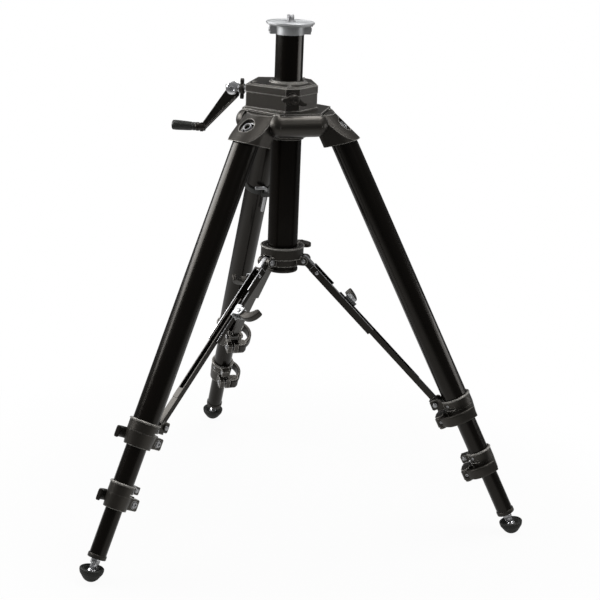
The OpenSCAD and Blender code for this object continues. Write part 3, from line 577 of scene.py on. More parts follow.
class TripodStageSettings(bpy.types.PropertyGroup):
    floor_size: number_setting("Floor size", "Side of the studio floor", 12.0, min=3.0, unit="LENGTH")
    floor_colour: colour_setting("Floor", "Pale studio floor", (0.48, 0.48, 0.47))
    key_power: number_setting("Key", "Power of the overhead softbox in watts", 42.0, min=0.0, unit="POWER")
    side_power: number_setting("Side", "Power of the left softbox in watts", 14.0, min=0.0, unit="POWER")
    air: number_setting("Air", "Strength of the studio's ambient light", 0.07, min=0.0)
    mirrored: number_setting("Mirrored room", "Share of the pale room that reflections show", 0.06,
                             min=0.0, max=1.0, subtype="FACTOR")


def slot_material(slot, azimuth=None):
    """The finish for one material slot; leg tubes get one for each leg."""
    look = bpy.context.scene.tripod_finish
    name = "tripod_" + (slot if azimuth is None else f"{slot}_{azimuth:.0f}")
    found = bpy.data.materials.get(name)
    if found:
        return found
    maker, setting = FINISHES[slot]
    leg = (azimuth,) if maker is tube_lacquer else ()
    return maker(name, tuple(getattr(look, setting)), *leg)


# Operators

class TRIPOD_OT_finish_solids(bpy.types.Operator):
    """Give every CAD part the finish of its slot"""
    bl_idname = "tripod.finish_solids"
    bl_label = "Finish the solids"

    def execute(self, context):
        slots = {part["node"]: part["material_slot"] for part in frame["record"]["subparts"]}
        bare = set(frame["nodes"]) - set(slots)
        if bare:
            raise RuntimeError(f"no finish is named for {sorted(bare)}")
        for node, item in frame["nodes"].items():
            azimuth = None
            if slots[node] == "gloss_tube":
                azimuth = next((a for leg, a in LEGS.items() if node.endswith(leg)), None)
            item.data.materials.clear()
            item.data.materials.append(slot_material(slots[node], azimuth))
        return {"FINISHED"}


class TRIPOD_OT_head(bpy.types.Operator):
    """Threaded stud, rings, knurled rim and screws of the head plate"""
    bl_idname = "tripod.head"
    bl_label = "Head"

    def execute(self, context):
        pitch = context.scene.tripod_hardware.thread_pitch / MM
        top = PLATE_SEAT + PLATE_T
        stud = Form(shift(0, 0, top))
        root = STUD_R - THREAD_DEPTH * pitch
        rings = [[(0, 0, -0.45)], ring(root, -0.45, THREAD_SIDES)]
        for i in range(THREAD_ROWS + 1):
            z, points = STUD_H * i / THREAD_ROWS, []
            for k in range(THREAD_SIDES):
                a = 2 * math.pi * k / THREAD_SIDES
                wave = abs(((z / pitch - a / (2 * math.pi)) % 1.0) * 2 - 1)
                fade = min(1.0, max(0.0, (z - 0.4) / 0.5)) * min(1.0, max(0.0, (STUD_H - z) / 0.9))
                r = root + (STUD_R - root) * min(1.0, wave * 1.15) * fade
                points.append((r * math.cos(a), r * math.sin(a), z))
            rings.append(points)
        rings.append([(0, 0, STUD_H)])
        stud.skin(rings)
        stud.hoop([(root - 0.5, -0.45), (7, -0.45), (7, 0.05), (6.6, 0.35), (root - 0.5, 0.35)])
        slot = Form(shift(0, 0, top)).bar(-6, 6, -0.6, 0.6, STUD_H - 1.4, STUD_H + 1)
        stud.make("stud_thread", "column", "zinc_steel", replaces=("head_stud",), cut=(slot,))

        rings = Form(shift(0, 0, top - 0.5))
        for radius in (10.5, 15.0, 18.6):
            rings.hoop([(radius, -0.1), (radius + 0.9, -0.1), (radius + 0.9, 0.2), (radius + 0.6, 0.35),
                        (radius + 0.3, 0.35), (radius, 0.2)], sides=96)
        rings.make("plate_rings", "column", "bare_aluminium")

        bead = Form(shift(0, 0, PLATE_SEAT))
        bead.hoop([(PLATE_R - 1.4, 1.1), (PLATE_R + 0.1, 2.5), (PLATE_R + 0.1, 3.0), (PLATE_R - 1.4, 3.1)],
                  sides=120)
        for i in range(60):
            bead.bar(PLATE_R - 1.0, PLATE_R + 0.22, -0.45, 0.45, 3.2, 4.3, turn(6 * i))
        bead.make("plate_knurl", "column", "bare_aluminium", bevel=0.12, segments=2)

        # Screws in the hub under the plate, then those in its rim
        screws = Form(shift(0, 0, PLATE_SEAT))
        for angle in (171.0, 351.0):
            screws.screw(2.9, 1.4, turn(angle) @ shift(COLUMN_R + 7.8, 0, -5.2) @ TO_X, 0.5)
        for angle in (75.0, 195.0, 315.0):
            screws.screw(1.9, 0.5, turn(angle) @ shift(PLATE_R - 0.2, 0, 2.2) @ TO_X, 0.6)
        screws.make("plate_screws", "column", "zinc_steel")
        return {"FINISHED"}


class TRIPOD_OT_housing(bpy.types.Operator):
    """Cover screws, beads, column wiper, shaft bush and pressure screw of the gear housing"""
    bl_idname = "tripod.housing"
    bl_label = "Gear housing"

    def execute(self, context):
        case = turn(CRANK_AZIMUTH)
        screws = Form(case)
        for x, y in CASE_SCREWS:
            screws.screw(3.0, 1.1, shift(x, y, COVER_TOP), 0.55)
        screws.make("cover_screws", "root", "satin_casting")

        for name, z, reach, half in (("parting_bead", CASE_TOP, 1.019, 0.35),
                                     ("foot_bead", CROWN_TOP + 2.2, 1.034, 0.4)):
            section = ((0.99, -half), (reach, -half * 0.5), (reach, half * 0.5), (0.99, half))
            corners = [[(x * s, y * s, z + d) for s, d in section] for x, y in CASE_PLAN]
            Form(case).skin(corners, loop=True).make(name, "root", "satin_casting")

        wiper = Form(shift(0, 0, COVER_TOP))
        wiper.hoop([(COLUMN_R + 0.12, 1.2), (COLUMN_R + 1.7, 0.95), (COLUMN_R + 1.7, 2.6),
                    (COLUMN_R + 0.9, 3.2), (COLUMN_R + 0.12, 2.4)], sides=96)
        wiper.make("column_wiper", "root", "nylon_lever")

        bush = Form(shaft_frame() @ TO_X)
        bush.hoop([(4.15, 46.5), (7.4, 46.5), (7.4, 48.0), (6.6, 48.8), (4.15, 48.8)])
        bush.make("shaft_bush", "root", "zinc_steel")

        # Pressure screw on the nose side
        (x0, y0), (x1, y1) = CASE_PLAN[4], CASE_PLAN[5]
        spot = (x0 + (x1 - x0) * NOSE_SHARE, y0 + (y1 - y0) * NOSE_SHARE, NOSE_Z)
        facing = math.degrees(math.atan2(x0 - x1, y1 - y0)) + 180.0
        face = case @ shift(*spot) @ turn(facing) @ TO_X
        boss = Form(face)
        boss.lathe([(0, -1.0), (4.6, -1.0), (4.6, 1.6), (4.0, 2.2), (0, 2.2)], sides=36)
        boss.make("nose_boss", "root", "satin_casting")
        screw = Form(face @ shift(0, 0, 2.0)).screw(2.7, 1.5)
        screw.make("nose_screw", "root", "zinc_steel")
        return {"FINISHED"}


class TRIPOD_OT_crank(bpy.types.Operator):
    """Crank caps, washers, arm beads, spindle collar, fluted grip and butterfly nut"""
    bl_idname = "tripod.crank"
    bl_label = "Crank"

    def execute(self, context):
        hub = shaft_frame() @ shift(CRANK_HUB)
        cap = Form(hub @ TO_Y)
        cap.hoop([(3.4, 5.4), (7.4, 5.4), (7.8, 6.0), (7.6, 6.9), (6.4, 7.6), (3.6, 7.9), (3.4, 7.6)])
        cap.lathe([(0, 4.8), (3.3, 4.8), (3.3, 6.6), (2.9, 7.0), (1.7, 7.0), (1.7, 5.8), (0, 5.8)])
        cap.lathe([(0, -5.6), (7.4, -5.6), (7.8, -6.0), (7.6, -6.9), (6.6, -7.8), (4.4, -8.4), (0, -8.6)])
        cap.make("crank_caps", "crank", "chrome_steel")

        washers = Form(shaft_frame() @ TO_X)
        for x0, x1, r in ((49.0, 50.2, 6.6), (50.4, 52.4, 5.6), (66.8, 68.0, 6.0)):
            washers.hoop([(4.02, x0), (r - 0.3, x0), (r, x0 + 0.3),
                          (r, x1 - 0.3), (r - 0.3, x1), (4.02, x1)])
        washers.make("shaft_washers", "crank", "chrome_steel")

        # Start and end of each pair of beads along the arm, their distance to its sides and their inset
        beads = Form(hub)
        pairs = (((8.9, -2.9), (CRANK_LEAN + 0.3, 5.2 - CRANK_R), 2.6, -0.6),
                 ((-7.4, -9.5), (CRANK_LEAN - 0.6, -5.6 - CRANK_R), 4.2, 0.5))
        for (x0, z0), (x1, z1), side, inset in pairs:
            run = Vector((x1 - x0, 0, z1 - z0)).normalized()
            inward = Vector((-run.z, 0, run.x)) * inset
            for y in (-side, side):
                start, end = Vector((x0, y, z0)), Vector((x1, y, z1))
                beads.wire([start.lerp(end, t) + inward for t in (0.03, 0.3, 0.6, 0.97)], 0.75, (0, 1, 0))
        beads.make("arm_beads", "crank", "black_sheet")

        spindle = hub @ shift(0, 0, -CRANK_R) @ TO_X @ shift(0, 0, CRANK_LEAN)
        collar = Form(spindle)
        collar.hoop([(3.02, 5.0), (5.2, 5.0), (5.6, 5.6), (5.6, 8.4), (5.2, 9.0), (3.02, 9.0)])
        collar.make("spindle_collar", "crank", "black_sheet")

        flutes = context.scene.tripod_hardware.grip_flutes
        grip = Form(spindle @ shift(0, 0, GRIP_START))
        profile = [(0, 29.3, 0), (4.5, 29.3, 0), (4.5, 26.1, 0), (3.1, 26.1, 0), (3.1, 0, 0), (4.6, 0, 0),
                   (5.1, 0.4, 0), (5.4, 1.4, 0), (5.4, 3.4, 0), (4.9, 3.9, 0), (4.9, 4.6, 0), (5.5, 5.2, 0),
                   (5.6, 6.2, 0.3), (5.9, 12, 0.3), (6.2, 19, 0.3), (6.4, 26.6, 0.3), (6.45, 27.6, 0),
                   (6.0, 28.1, 0), (6.0, 28.7, 0), (6.4, 29.2, 0), (6.1, 30.3, 0), (5.2, 31.0, 0),
                   (0, 31.0, 0)]
        grip.skin([ring(r, z, flutes * 6, flutes, depth) for r, z, depth in profile])
        grip.make("fluted_grip", "grip", "grip_plastic", replaces=("crank_grip",))

        nut = Form(shaft_frame() @ shift(NUT_AT))
        nut.hoop([(4.06, -3.4), (5.9, -3.4), (6.6, -2.6), (6.6, 1.4), (6.0, 2.2), (4.06, 2.2)], TO_X)
        for sign in (-1, 1):
            lobe = arc((0, 9.6), 3.6, -35, 215, 14) + [(-2.5, 4.7), (2.5, 4.7)]
            nut.prism([(x, sign * y) for x, y in lobe], -2.0, 1.9, PLANE_YZ)
        nut.make("butterfly_nut", "friction", "nylon_lever", bevel=0.9, replaces=("friction_wing",))
        return {"FINISHED"}


class TRIPOD_OT_knobs(bpy.types.Operator):
    """Column lock lever, and the collar's wing knob with its nut"""
    bl_idname = "tripod.knobs"
    bl_label = "Lock lever and collar knob"

    def execute(self, context):
        edge = context.scene.tripod_hardware.edge_round / MM
        lock = Form(lock_frame())
        lock.lathe([(0, -22), (3.6, -22), (4, -21.4), (4, 2)], TO_X)
        blade = [(-15.5, 2.4), (-9, 3.5), (-3, 5.9), (3, 5.6), (8, 1.2), (12, -3.4), (17, -4.4), (17, -7.6),
                 (11, -8.6), (6, -5.6), (2, -4.4), (-6, -3.6), (-15.5, -2.4)]
        lock.prism(softened(blade, 3), 3.2, 8.6, PLANE_YZ)
        lock.lathe([(0, 0.4), (6.0, 0.4), (6.4, 1.0), (6.4, 8.8), (5.6, 10.0), (4.2, 10.5),
                    (2.4, 10.5), (2.2, 9.6), (0, 9.6)], TO_X)
        lock.make("lock_blade", "column_lock", "nylon_lever", bevel=edge, replaces=("lock_lever",))

        seat = turn(KNOB_AZIMUTH) @ shift(0, 0, KNOB_Z)
        knob = Form(seat)
        knob.lathe([(0, SLEEVE_R + 0.6), (3, SLEEVE_R + 0.6), (3, COLLAR_R + 8)], TO_X)
        knob.lathe([(0, COLLAR_R + 3), (5.0, COLLAR_R + 3), (5.4, COLLAR_R + 3.6), (5.4, COLLAR_R + 11),
                    (4.8, COLLAR_R + 12), (0, COLLAR_R + 12)], TO_X)
        wing = [(8, -3.6), (10, -10.5), (15, -13.2), (21.5, -11.5), (24.6, -5),
                (24.6, 5), (21.5, 11.5), (15, 13.2), (10, 10.5), (8, 3.6)]
        knob.prism(softened(wing), -2.6, 2.6, shift(COLLAR_R - 5))
        knob.make("wing_knob", "knob", "nylon_lever", bevel=edge, replaces=("collar_knob",))

        jam = Form(seat @ TO_X)
        jam.hexagon(8.0, COLLAR_R + 1.6, COLLAR_R + 2.9)
        jam.make("knob_nut", "knob", "zinc_steel", bevel=0.25, segments=2)
        return {"FINISHED"}


def recess_pieces(leg, azimuth):
    face = leg_frame(azimuth) @ turn(-FACE_TILT, "Y") @ shift(0, 0, -RECESS_S) @ TO_X
    head = Form(face)
    head.hoop([(SOCKET_R, RECESS_FLOOR), (SCREW_R, RECESS_FLOOR), (SCREW_R, SCREW_TOP - 0.5),
               (SCREW_R - 0.3, SCREW_TOP), (SOCKET_R + 0.3, SCREW_TOP), (SOCKET_R, SCREW_TOP - 0.3)])
    head.make(f"recess_screw_{leg}", f"leg_{leg}", "zinc_steel")
    socket = Form(face)
    socket.lathe([(0, RECESS_FLOOR), (SOCKET_R, RECESS_FLOOR), (SOCKET_R, 13.6),
                  (3.9, 13.6), (3.7, 7.0), (0, 7.0)])
    socket.make(f"recess_socket_{leg}", f"leg_{leg}", "satin_casting")
    lip = Form(face @ shift(0, 0, FACE_CREST - 6.4))
    lip.hoop([(8.35, -0.6), (9.3, -0.1), (9.3, 0.35), (8.8, 0.5), (8.35, 0.3)])
    lip.make(f"recess_lip_{leg}", f"leg_{leg}", "zinc_steel")


class TRIPOD_OT_castings(bpy.types.Operator):
    """Screw, socket and lip in the round recess of each leg casting"""
    bl_idname = "tripod.castings"
    bl_label = "Leg castings"

    def execute(self, context):
        for leg, azimuth in LEGS.items():
            recess_pieces(leg, azimuth)
        return {"FINISHED"}


class TRIPOD_OT_collar(bpy.types.Operator):
    """Pin heads and rims of the brace collar, and the end ring of the guide sleeve"""
    bl_idname = "tripod.collar"
    bl_label = "Brace collar"

    def execute(self, context):
        pins = Form()
        for azimuth in LEGS.values():
            pin = turn(azimuth) @ shift(BRACE_PIN_R, 0, BRACE_PIN_Z)
            pins.rivet(2.6, 0.9, pin @ shift(0, FORK_OUT + 1.6) @ TO_Y)
            pins.rivet(2.8, 1.5, pin @ shift(0, -FORK_OUT) @ TO_Y @ turn(180, "X"))
        pins.make("fork_pin_heads", "root", "zinc_steel")

        rims = Form()
        for radius, z in ((COLLAR_R + 0.7, COLLAR_TOP - 1.0), (COLLAR_R + 0.1, BRACE_PIN_Z + 3.0),
                          (COLLAR_R - 4.1, BRACE_PIN_Z - 6.4)):
            rims.hoop([(radius - 0.6, z - 0.5), (radius + 0.15, z - 0.35), (radius + 0.3, z),
                       (radius + 0.15, z + 0.35), (radius - 0.6, z + 0.5)], sides=120)
        low, high = BRACE_PIN_Z - 20, BRACE_PIN_Z + 7.4
        mouths = [Form(turn(a)).bar(BRACE_PIN_R - 7.2, 50, -5.5, 5.5, low, high) for a in LEGS.values()]
        rims.make("collar_rims", "root", "satin_casting", cut=mouths)

        end = Form(shift(0, 0, SLEEVE_FOOT))
        end.hoop([(SLEEVE_R - 0.5, 0), (SLEEVE_R + 0.9, 0.2), (SLEEVE_R + 1.3, 0.9),
                  (SLEEVE_R + 1.3, 3.2), (SLEEVE_R + 0.9, 4.0), (SLEEVE_R - 0.5, 4.0)], sides=96)
        end.make("sleeve_end", "root", "nylon_lever")
        return {"FINISHED"}


def clamp_sizes(stage):
    """Station, body radius, hinge post and ear centre of one clamp, in its tube frame."""
    start, big, _ = CLAMPS[stage]
    body = big + CLAMP_WALL
    return start, body, -body - EAR_OUT, -EAR_W / 2 - POST_OUT, -(start + RING_H + RING_SLOT + SPLIT_H / 2)


CLAMP_BODY = {"upper": "leg", "lower": "middle"}

# Sections along a lever arm, and the share of its length where the tip starts
ARM_STEPS, TIP_START = 24, 0.82


def clamp_pieces(leg, azimuth, stage):
    start, body, ear_x, _, ear_z = clamp_sizes(stage)
    rides = f"{CLAMP_BODY[stage]}_{leg}"
    here = tube_frame(azimuth)
    bolt = Form(here @ shift(ear_x, 0, ear_z) @ TO_Y)
    bolt.hoop([(2.0, 6.5), (4.9, 6.5), (4.9, 7.1), (2.0, 7.1)])
    bolt.screw(3.9, 2.2, shift(0, 0, 7.1))
    bolt.rod(2.9, -8.2, 6.9, sides=24)
    bolt.make(f"{stage}_clamp_bolt_{leg}", rides, "zinc_steel")

    rim = Form(here @ shift(0, 0, -start - 1.3))
    r = body + 0.7
    rim.hoop([(r - 0.5, -0.8), (r + 0.1, -0.55), (r + 0.3, 0), (r + 0.1, 0.55), (r - 0.5, 0.8)], sides=96)
    outer, inner, side = (16, 6.4, 9.9) if stage == "upper" else (12, 5.4, 6.1)
    ears = Form(here).bar(-body - outer, -body + inner, -side, side, -start - 12, -start + 5)
    rim.make(f"{stage}_clamp_rim_{leg}", rides, "satin_casting", cut=(ears,))

    small = Form(here)
    for angle in (118.0, 236.0):
        small.screw(1.9, 0.7, turn(angle) @ shift(body - 0.15, 0, -start - 6.6) @ TO_X, 0.6)
    if stage == "lower":
        small.pin(3.2, 1.0, 6.0, shift(-body - 5, 0, -start - 5))
    small.make(f"{stage}_clamp_screws_{leg}", rides, "zinc_steel")


class TRIPOD_OT_clamps(bpy.types.Operator):
    """Bolts, rims and screws of the six tube clamps"""
    bl_idname = "tripod.clamps"
    bl_label = "Tube clamps"

    def execute(self, context):
        for leg, azimuth in LEGS.items():
            for stage in CLAMPS:
                clamp_pieces(leg, azimuth, stage)
        return {"FINISHED"}


def lever_pieces(leg, azimuth, stage):
    _, _, ear_x, post_y, ear_z = clamp_sizes(stage)
    gap = UPPER_R - CLAMPS[stage][1]
    centre = Vector((-2.5 - gap * 0.4, -7 + gap * 0.6, 0))
    eye = Vector((ear_x, post_y, 0)) - centre
    mean = 0.5 * (eye.length + LEVER_REACH - gap * 0.6)
    first = math.degrees(math.atan2(eye.y, eye.x)) % 360 + LEVER_START
    here = tube_frame(azimuth)
    lever = Form(here @ shift(0, 0, ear_z))
    lever.hoop([(2.57, -LEVER_HALF), (5.8, -LEVER_HALF), (6.5, -LEVER_HALF + 0.7),
                (6.5, LEVER_HALF - 0.7), (5.8, LEVER_HALF), (2.57, LEVER_HALF)],
               shift(ear_x, post_y), sides=40)
    # The arm is thicker at its root and flares at its tip, which then rounds off
    up, rings = Vector((0, 0, 1)), []
    for i in range(ARM_STEPS + 1):
        t = i / ARM_STEPS
        out = toward(first + (LEVER_END - first) * t)
        flare = max(0.0, (t - TIP_START) / (1.0 - TIP_START))
        radius = (eye.length + (mean - eye.length) * min(1.0, t * 4)) + 1.0 * flare
        height = LEVER_HALF - 0.15 + 0.8 * min(1.0, max(0.0, (t - 0.12) / 0.2)) + 0.2 * flare
        root = 1.0 - min(1.0, t * 3.2)
        thick = LEVER_T / 2 + 0.35 * flare + 1.1 * root
        rings.append(superellipse(centre + out * (radius - 1.1 * root), out, up, thick, height))
    for beyond, k in ((0.9, 0.86), (1.5, 0.62), (1.8, 0.3)):
        out = toward(LEVER_END + beyond)
        height = (LEVER_HALF + 0.85) * (0.82 + 0.18 * k)
        rings.append(superellipse(centre + out * (mean + 1.0), out, up, 2.75 * k, height))
    lever.skin(rings)
    opening = Form(here @ shift(ear_x, 0, ear_z) @ TO_Y)
    opening.rod(2.6, post_y - 12, post_y - 1, sides=32)
    rides = f"{stage}_lever_body_{leg}"
    lever.make(f"{stage}_thumb_lever_{leg}", rides, "nylon_lever",
               replaces=(f"{stage}_lever_{leg}",), cut=(opening,))
    end = Form(here @ shift(ear_x, post_y - 2.7, ear_z) @ TO_Y @ turn(180, "X"))
    end.screw(2.45, 1.9, None, 0.35)
    end.make(f"{stage}_lever_screw_{leg}", rides, "zinc_steel")


class TRIPOD_OT_levers(bpy.types.Operator):
    """Moulded clamp levers: eye on the hinge post, curved arm and flared thumb tip"""
    bl_idname = "tripod.levers"
    bl_label = "Clamp levers"

    def execute(self, context):
        for leg, azimuth in LEGS.items():
            for stage in CLAMPS:
                lever_pieces(leg, azimuth, stage)
        return {"FINISHED"}


def brace_pieces(leg, azimuth, edge):
    half = CHANNEL_W / 2
    here, rides = brace_frame(azimuth), f"brace_{leg}"
    tongue = Form(here)
    rear = BRACE_BASE + 0.6
    loop = arc((0, 0), 5.75, 0, 180, 16)
    loop += [(-5.0, -6.0), (rear, -9.0), (rear, -16.6), (4.4, -16.6), (5.75, -12.0)]
    tongue.prism(loop, -2.9, 2.9, PLANE_XZ)
    tongue.make(f"brace_tongue_{leg}", rides, "zinc_steel", bevel=0.45,
                cut=(Form(here @ TO_Y).rod(2.56, -9, 9, sides=32),))

    rivets = Form(here)
    rivets.pin(2.5, 1.1, half, shift(BRACE_TOP - 4.4, 0, -23))
    for z in (-LOCK_S - 6.6, -LOCK_S + 5.6):
        rivets.rivet(1.9, 0.8, shift(LOCK_X, half + 1.6, z) @ TO_Y)
    rivets.rivet(3.0, 1.2, shift(LOCK_X + 6.5, half + 8, -LOCK_S) @ TO_X)
    rivets.rivet(3.0, 1.2, shift(LOCK_X - 6.5, half + 8, -LOCK_S) @ TO_X @ turn(180, "X"))
    rivets.make(f"brace_rivets_{leg}", rides, "zinc_steel")

    # Bright zinc bars along the channel's edges: a painted highlight on those edges, made as bare metal
    highlight_bars = Form(here)
    left, right = (-half - 0.12, -half + CHANNEL_T - 0.2), (half - CHANNEL_T + 0.2, half + 0.12)
    highlight_bars.bar(BRACE_TOP - 0.5, BRACE_TOP + 0.12, *left, -CHANNEL_LENGTH, -13.2)
    highlight_bars.bar(BRACE_TOP - 0.5, BRACE_TOP + 0.12, *right, -47.9, -13.2)
    highlight_bars.bar(BRACE_TOP - 3.9, BRACE_TOP - 3.28, *right, -CHANNEL_LENGTH, -48.1)
    highlight_bars.bar(BRACE_BASE + 1.2, BRACE_TOP + 0.1, -half - 0.1, half + 0.1, -13.5, -12.9)
    highlight_bars.make(f"channel_edges_{leg}", rides, "zinc_steel", bevel=0.15, segments=2)

    pivot = here @ shift(LOCK_X - 4.5, half + 8, -LOCK_S)
    thumb = Form(pivot)
    blade = [(-1, -4.6), (6, -6.4), (12, -7.6), (19, -5.8), (25, -0.6), (28.4, 6.6), (27, 9.6),
             (22.6, 9.8), (18.8, 5.4), (13.4, 2.4), (7, 2.6), (1, 4.6)]
    blade += arc((0, 0), 4.7, 100, 235, 6)
    thumb.prism(softened(blade), 0.05, 8.95, PLANE_YZ)
    thumb.make(f"brace_thumb_{leg}", f"brace_lock_{leg}", "nylon_lever", bevel=edge * 1.2,
               replaces=(f"brace_lever_{leg}",),
               cut=(Form(pivot @ TO_X).rod(2.26, -2, 11, sides=32),))

    heads = Form(here @ shift(0, 0, -BRACE_LENGTH))
    heads.pin(3.1, 1.1, 12.0, shift())
    heads.make(f"lug_pin_heads_{leg}", f"bar_{leg}", "zinc_steel")


class TRIPOD_OT_braces(bpy.types.Operator):
    """Tongues, rivets, bright bars of painted highlight on the channel edges, lock levers and pin heads of
    the braces
    """
    bl_idname = "tripod.braces"
    bl_label = "Braces"

    def execute(self, context):
        edge = context.scene.tripod_hardware.edge_round / MM
        for leg, azimuth in LEGS.items():
            brace_pieces(leg, azimuth, edge)
        return {"FINISHED"}


def foot_pieces(leg, azimuth, ribs):
    foot = tube_frame(azimuth)
    tube_end = foot @ shift(0, 0, STEM_OUT - FOOT_S)
    nut = Form(tube_end)
    nut.hexagon(10.4, -5.8, -2.0)
    nut.hoop([(4.5, -6.6), (5.6, -6.6), (5.6, -5.8), (4.5, -5.8)])
    nut.make(f"foot_nut_{leg}", f"lower_{leg}", "zinc_steel", bevel=0.4, segments=2)
    thread = Form(tube_end)
    for i in range(5):
        z = -7.2 - 0.9 * i
        thread.hoop([(3.9, z), (4.3, z - 0.3), (3.9, z - 0.6)], sides=36)
    thread.make(f"foot_thread_{leg}", f"lower_{leg}", "chrome_steel")
    cap = Form(tube_end)
    cap.hoop([(LOWER_R + 0.3, 0), (LOWER_R + 1.0, 0.4), (LOWER_R + 1.05, 4.4),
              (LOWER_R + 0.7, 5.2), (LOWER_R + 0.1, 5.3)], sides=72)
    cap.make(f"tube_end_cap_{leg}", f"lower_{leg}", "nylon_lever")

    pad = foot @ shift(0, 0, -FOOT_S) @ turn(LEG_ANGLE - PAD_TILT, "Y")
    rim = Form(pad)
    rim.hoop([(PAD_R - 1.4, 5.2), (PAD_R - 0.2, 5.1), (PAD_R + 0.08, 4.6), (PAD_R + 0.08, 3.2),
              (PAD_R - 1.4, 3.0)], sides=96)
    for i in range(ribs):
        rim.bar(9.3, 12.6, -0.55, 0.55, 3.0, 5.0, turn(360 * i / ribs + 20))
    rim.make(f"pad_rim_{leg}", f"pad_{leg}", "foot_rubber", bevel=0.3, segments=2)


class TRIPOD_OT_feet(bpy.types.Operator):
    """End cap of each lower tube, nut and thread of each foot stem, ribs and rim of each pad"""
    bl_idname = "tripod.feet"
    bl_label = "Feet"

    def execute(self, context):
        ribs = context.scene.tripod_hardware.pad_ribs
        for leg, azimuth in LEGS.items():
            foot_pieces(leg, azimuth, ribs)
        return {"FINISHED"}


class TRIPOD_OT_hex_key(bpy.types.Operator):
    """Bent spare hex key on the rear leg"""
    bl_idname = "tripod.hex_key"
    bl_label = "Hex key"

    def execute(self, context):
        seat = tube_frame(LEGS["rear"]) @ shift(-UPPER_R - 4.6, KEY_Y, -KEY_S)
        bend = [(0, 5 + y, -5 + z) for y, z in arc((0, 0), 5, 180, 90, 8)]
        path = [(0, 0, -40), (0, 0, -22)] + bend + [(0, 11, 0), (0, 15.7, 0)]
        key = Form(seat).wire(path, KEY_R, (1, 0, 0), 6)
        key.make("bent_key", "leg_rear", "zinc_steel", bevel=0.2, segments=2, replaces=("hex_key",))
        return {"FINISHED"}


def area_lamp(name, place, aim, size, power):
    lamp = bpy.data.lights.new(name, "AREA")
    lamp.shape = "RECTANGLE"
    lamp.size, lamp.size_y = size
    lamp.energy = power
    item = new_object(name, lamp)
    item.location = place
    item.rotation_euler = (Vector(aim) - Vector(place)).to_track_quat("-Z", "Y").to_euler()


def room_rays(g, mirrored):
    """Share of the pale room in a ray: all if seen directly or through glass, some in a reflection."""
    kinds = ("Camera", "Transmission", "Glossy")
    rays = [g.node("LightPath", output=f"Is {kind} Ray") for kind in kinds]
    return rays[0].most(rays[1]).most(rays[2] * mirrored)


# The photograph's camera: place in metres, turns about x, y and z in degrees, lens in millimetres
CAMERA_PLACE = (-0.55851, -1.71666, 0.83319)
CAMERA_TURNS = (73.2213, -2.1993, -18.1661)
CAMERA_LENS, CAMERA_SENSOR = 86.907, 36.0


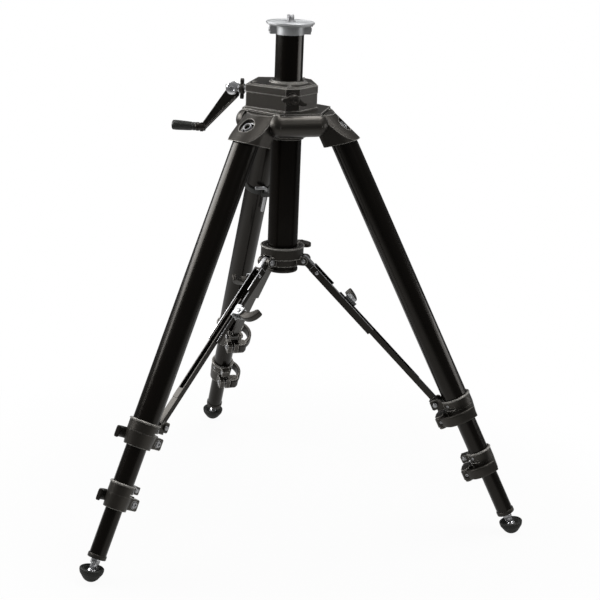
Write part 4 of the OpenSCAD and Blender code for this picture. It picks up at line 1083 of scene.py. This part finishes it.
class TRIPOD_OT_stage(bpy.types.Operator):
    """Floor, lights and the photograph's camera"""
    bl_idname = "tripod.stage"
    bl_label = "Studio stage"

    def execute(self, context):
        scene = context.scene
        stage = scene.tripod_stage
        scene.view_settings.view_transform = "Standard"
        half = stage.floor_size / 2
        mesh = bpy.data.meshes.new("studio_floor")
        corners = [(-half, -half, 0), (half, -half, 0), (half, half, 0), (-half, half, 0)]
        mesh.from_pydata(corners, [], [(0, 1, 2, 3)])
        floor = new_object("studio_floor", mesh)
        g = Graph("studio_floor")
        reach = g.place.dot((1, 0, 0)) ** 2.0 + g.place.dot((0, 1, 0)) ** 2.0
        pale = tuple(stage.floor_colour)
        # Floor colour pale near the tripod and darker farther out: a painted pool of light
        painted_light_pool = g.mix(reach.ramp(0.25, 1.2), pale, scaled(pale, 0.25))
        matt = g.node("BsdfDiffuse", None, {"Color": painted_light_pool})
        glow = g.node("Emission", None, {"Color": (1, 1, 1), "Strength": 1.0})
        seen = room_rays(g, reach.ramp(0.3, 2.2, 0.4, stage.mirrored)) * reach.ramp(0.06, 0.35, 0.95, 1.0)
        mixed = g.node("MixShader", None, {0: seen, 1: matt, 2: glow})
        g.node("OutputMaterial", None, {"Surface": mixed}, None)
        mesh.materials.append(g.material)

        world = bpy.data.worlds.new("studio_air")
        world.use_nodes = True
        scene.world = world
        air = Graph(tree=world.node_tree)
        dim = air.node("Background", None, {"Color": (0.95, 0.97, 1.0), "Strength": stage.air})
        white = air.node("Background", None, {"Color": (1, 1, 1), "Strength": 1.0})
        mixed = air.node("MixShader", None, {0: room_rays(air, stage.mirrored), 1: dim, 2: white})
        air.node("OutputWorld", None, {"Surface": mixed}, None)

        middle = (0, 0, 0.38)
        area_lamp("key_softbox", (0.45, 0.0, 2.25), middle, (1.2, 1.2), stage.key_power)
        area_lamp("back_softbox", (-0.9, 0.9, 1.9), middle, (0.7, 0.7), stage.key_power * 0.08)
        area_lamp("left_softbox", (-0.9, 0.38, 0.86), (0.0, 0.0, 0.62), (1.0, 0.5), stage.side_power)
        area_lamp("right_softbox", (1.25, -0.3, 0.44), (0, -0.1, 0.5), (0.8, 0.14), stage.side_power * 0.12)
        area_lamp("front_softbox", (0.75, -2.0, 1.9), middle, (0.9, 0.6), stage.side_power * 0.35)

        camera = bpy.data.cameras.new("photo_camera")
        camera.sensor_width = CAMERA_SENSOR
        camera.lens = CAMERA_LENS
        camera.clip_end = 50
        item = new_object("photo_camera", camera)
        item.location = CAMERA_PLACE
        item.rotation_euler = [math.radians(angle) for angle in CAMERA_TURNS]
        scene.camera = item
        return {"FINISHED"}


SETTINGS = (TripodFinishSettings, TripodHardwareSettings, TripodStageSettings)
PIECES = (TRIPOD_OT_finish_solids, TRIPOD_OT_head, TRIPOD_OT_housing, TRIPOD_OT_crank, TRIPOD_OT_knobs,
          TRIPOD_OT_castings, TRIPOD_OT_collar, TRIPOD_OT_clamps, TRIPOD_OT_levers, TRIPOD_OT_braces,
          TRIPOD_OT_feet, TRIPOD_OT_hex_key, TRIPOD_OT_stage)


class TRIPOD_PT_panel(bpy.types.Panel):
    """Lists the tripod's operators"""
    bl_label = "Tripod"
    bl_idname = "TRIPOD_PT_panel"
    bl_space_type = "VIEW_3D"
    bl_region_type = "UI"
    bl_category = "Tripod"

    def draw(self, context):
        for made in PIECES:
            self.layout.operator(made.bl_idname)


def register():
    for made in SETTINGS + PIECES + (TRIPOD_PT_panel,):
        bpy.utils.register_class(made)
    bpy.types.Scene.tripod_finish = bpy.props.PointerProperty(type=TripodFinishSettings)
    bpy.types.Scene.tripod_hardware = bpy.props.PointerProperty(type=TripodHardwareSettings)
    bpy.types.Scene.tripod_stage = bpy.props.PointerProperty(type=TripodStageSettings)


def unregister():
    del bpy.types.Scene.tripod_stage
    del bpy.types.Scene.tripod_hardware
    del bpy.types.Scene.tripod_finish
    for made in reversed(SETTINGS + PIECES + (TRIPOD_PT_panel,)):
        bpy.utils.unregister_class(made)


def main():
    register()
    bpy.ops.tripod.finish_solids()
    bpy.ops.tripod.head()
    bpy.ops.tripod.housing()
    bpy.ops.tripod.crank()
    bpy.ops.tripod.knobs()
    bpy.ops.tripod.castings()
    bpy.ops.tripod.collar()
    bpy.ops.tripod.clamps()
    bpy.ops.tripod.levers()
    bpy.ops.tripod.braces()
    bpy.ops.tripod.feet()
    bpy.ops.tripod.hex_key()
    bpy.ops.tripod.stage()


if __name__ == "__main__":
    main()
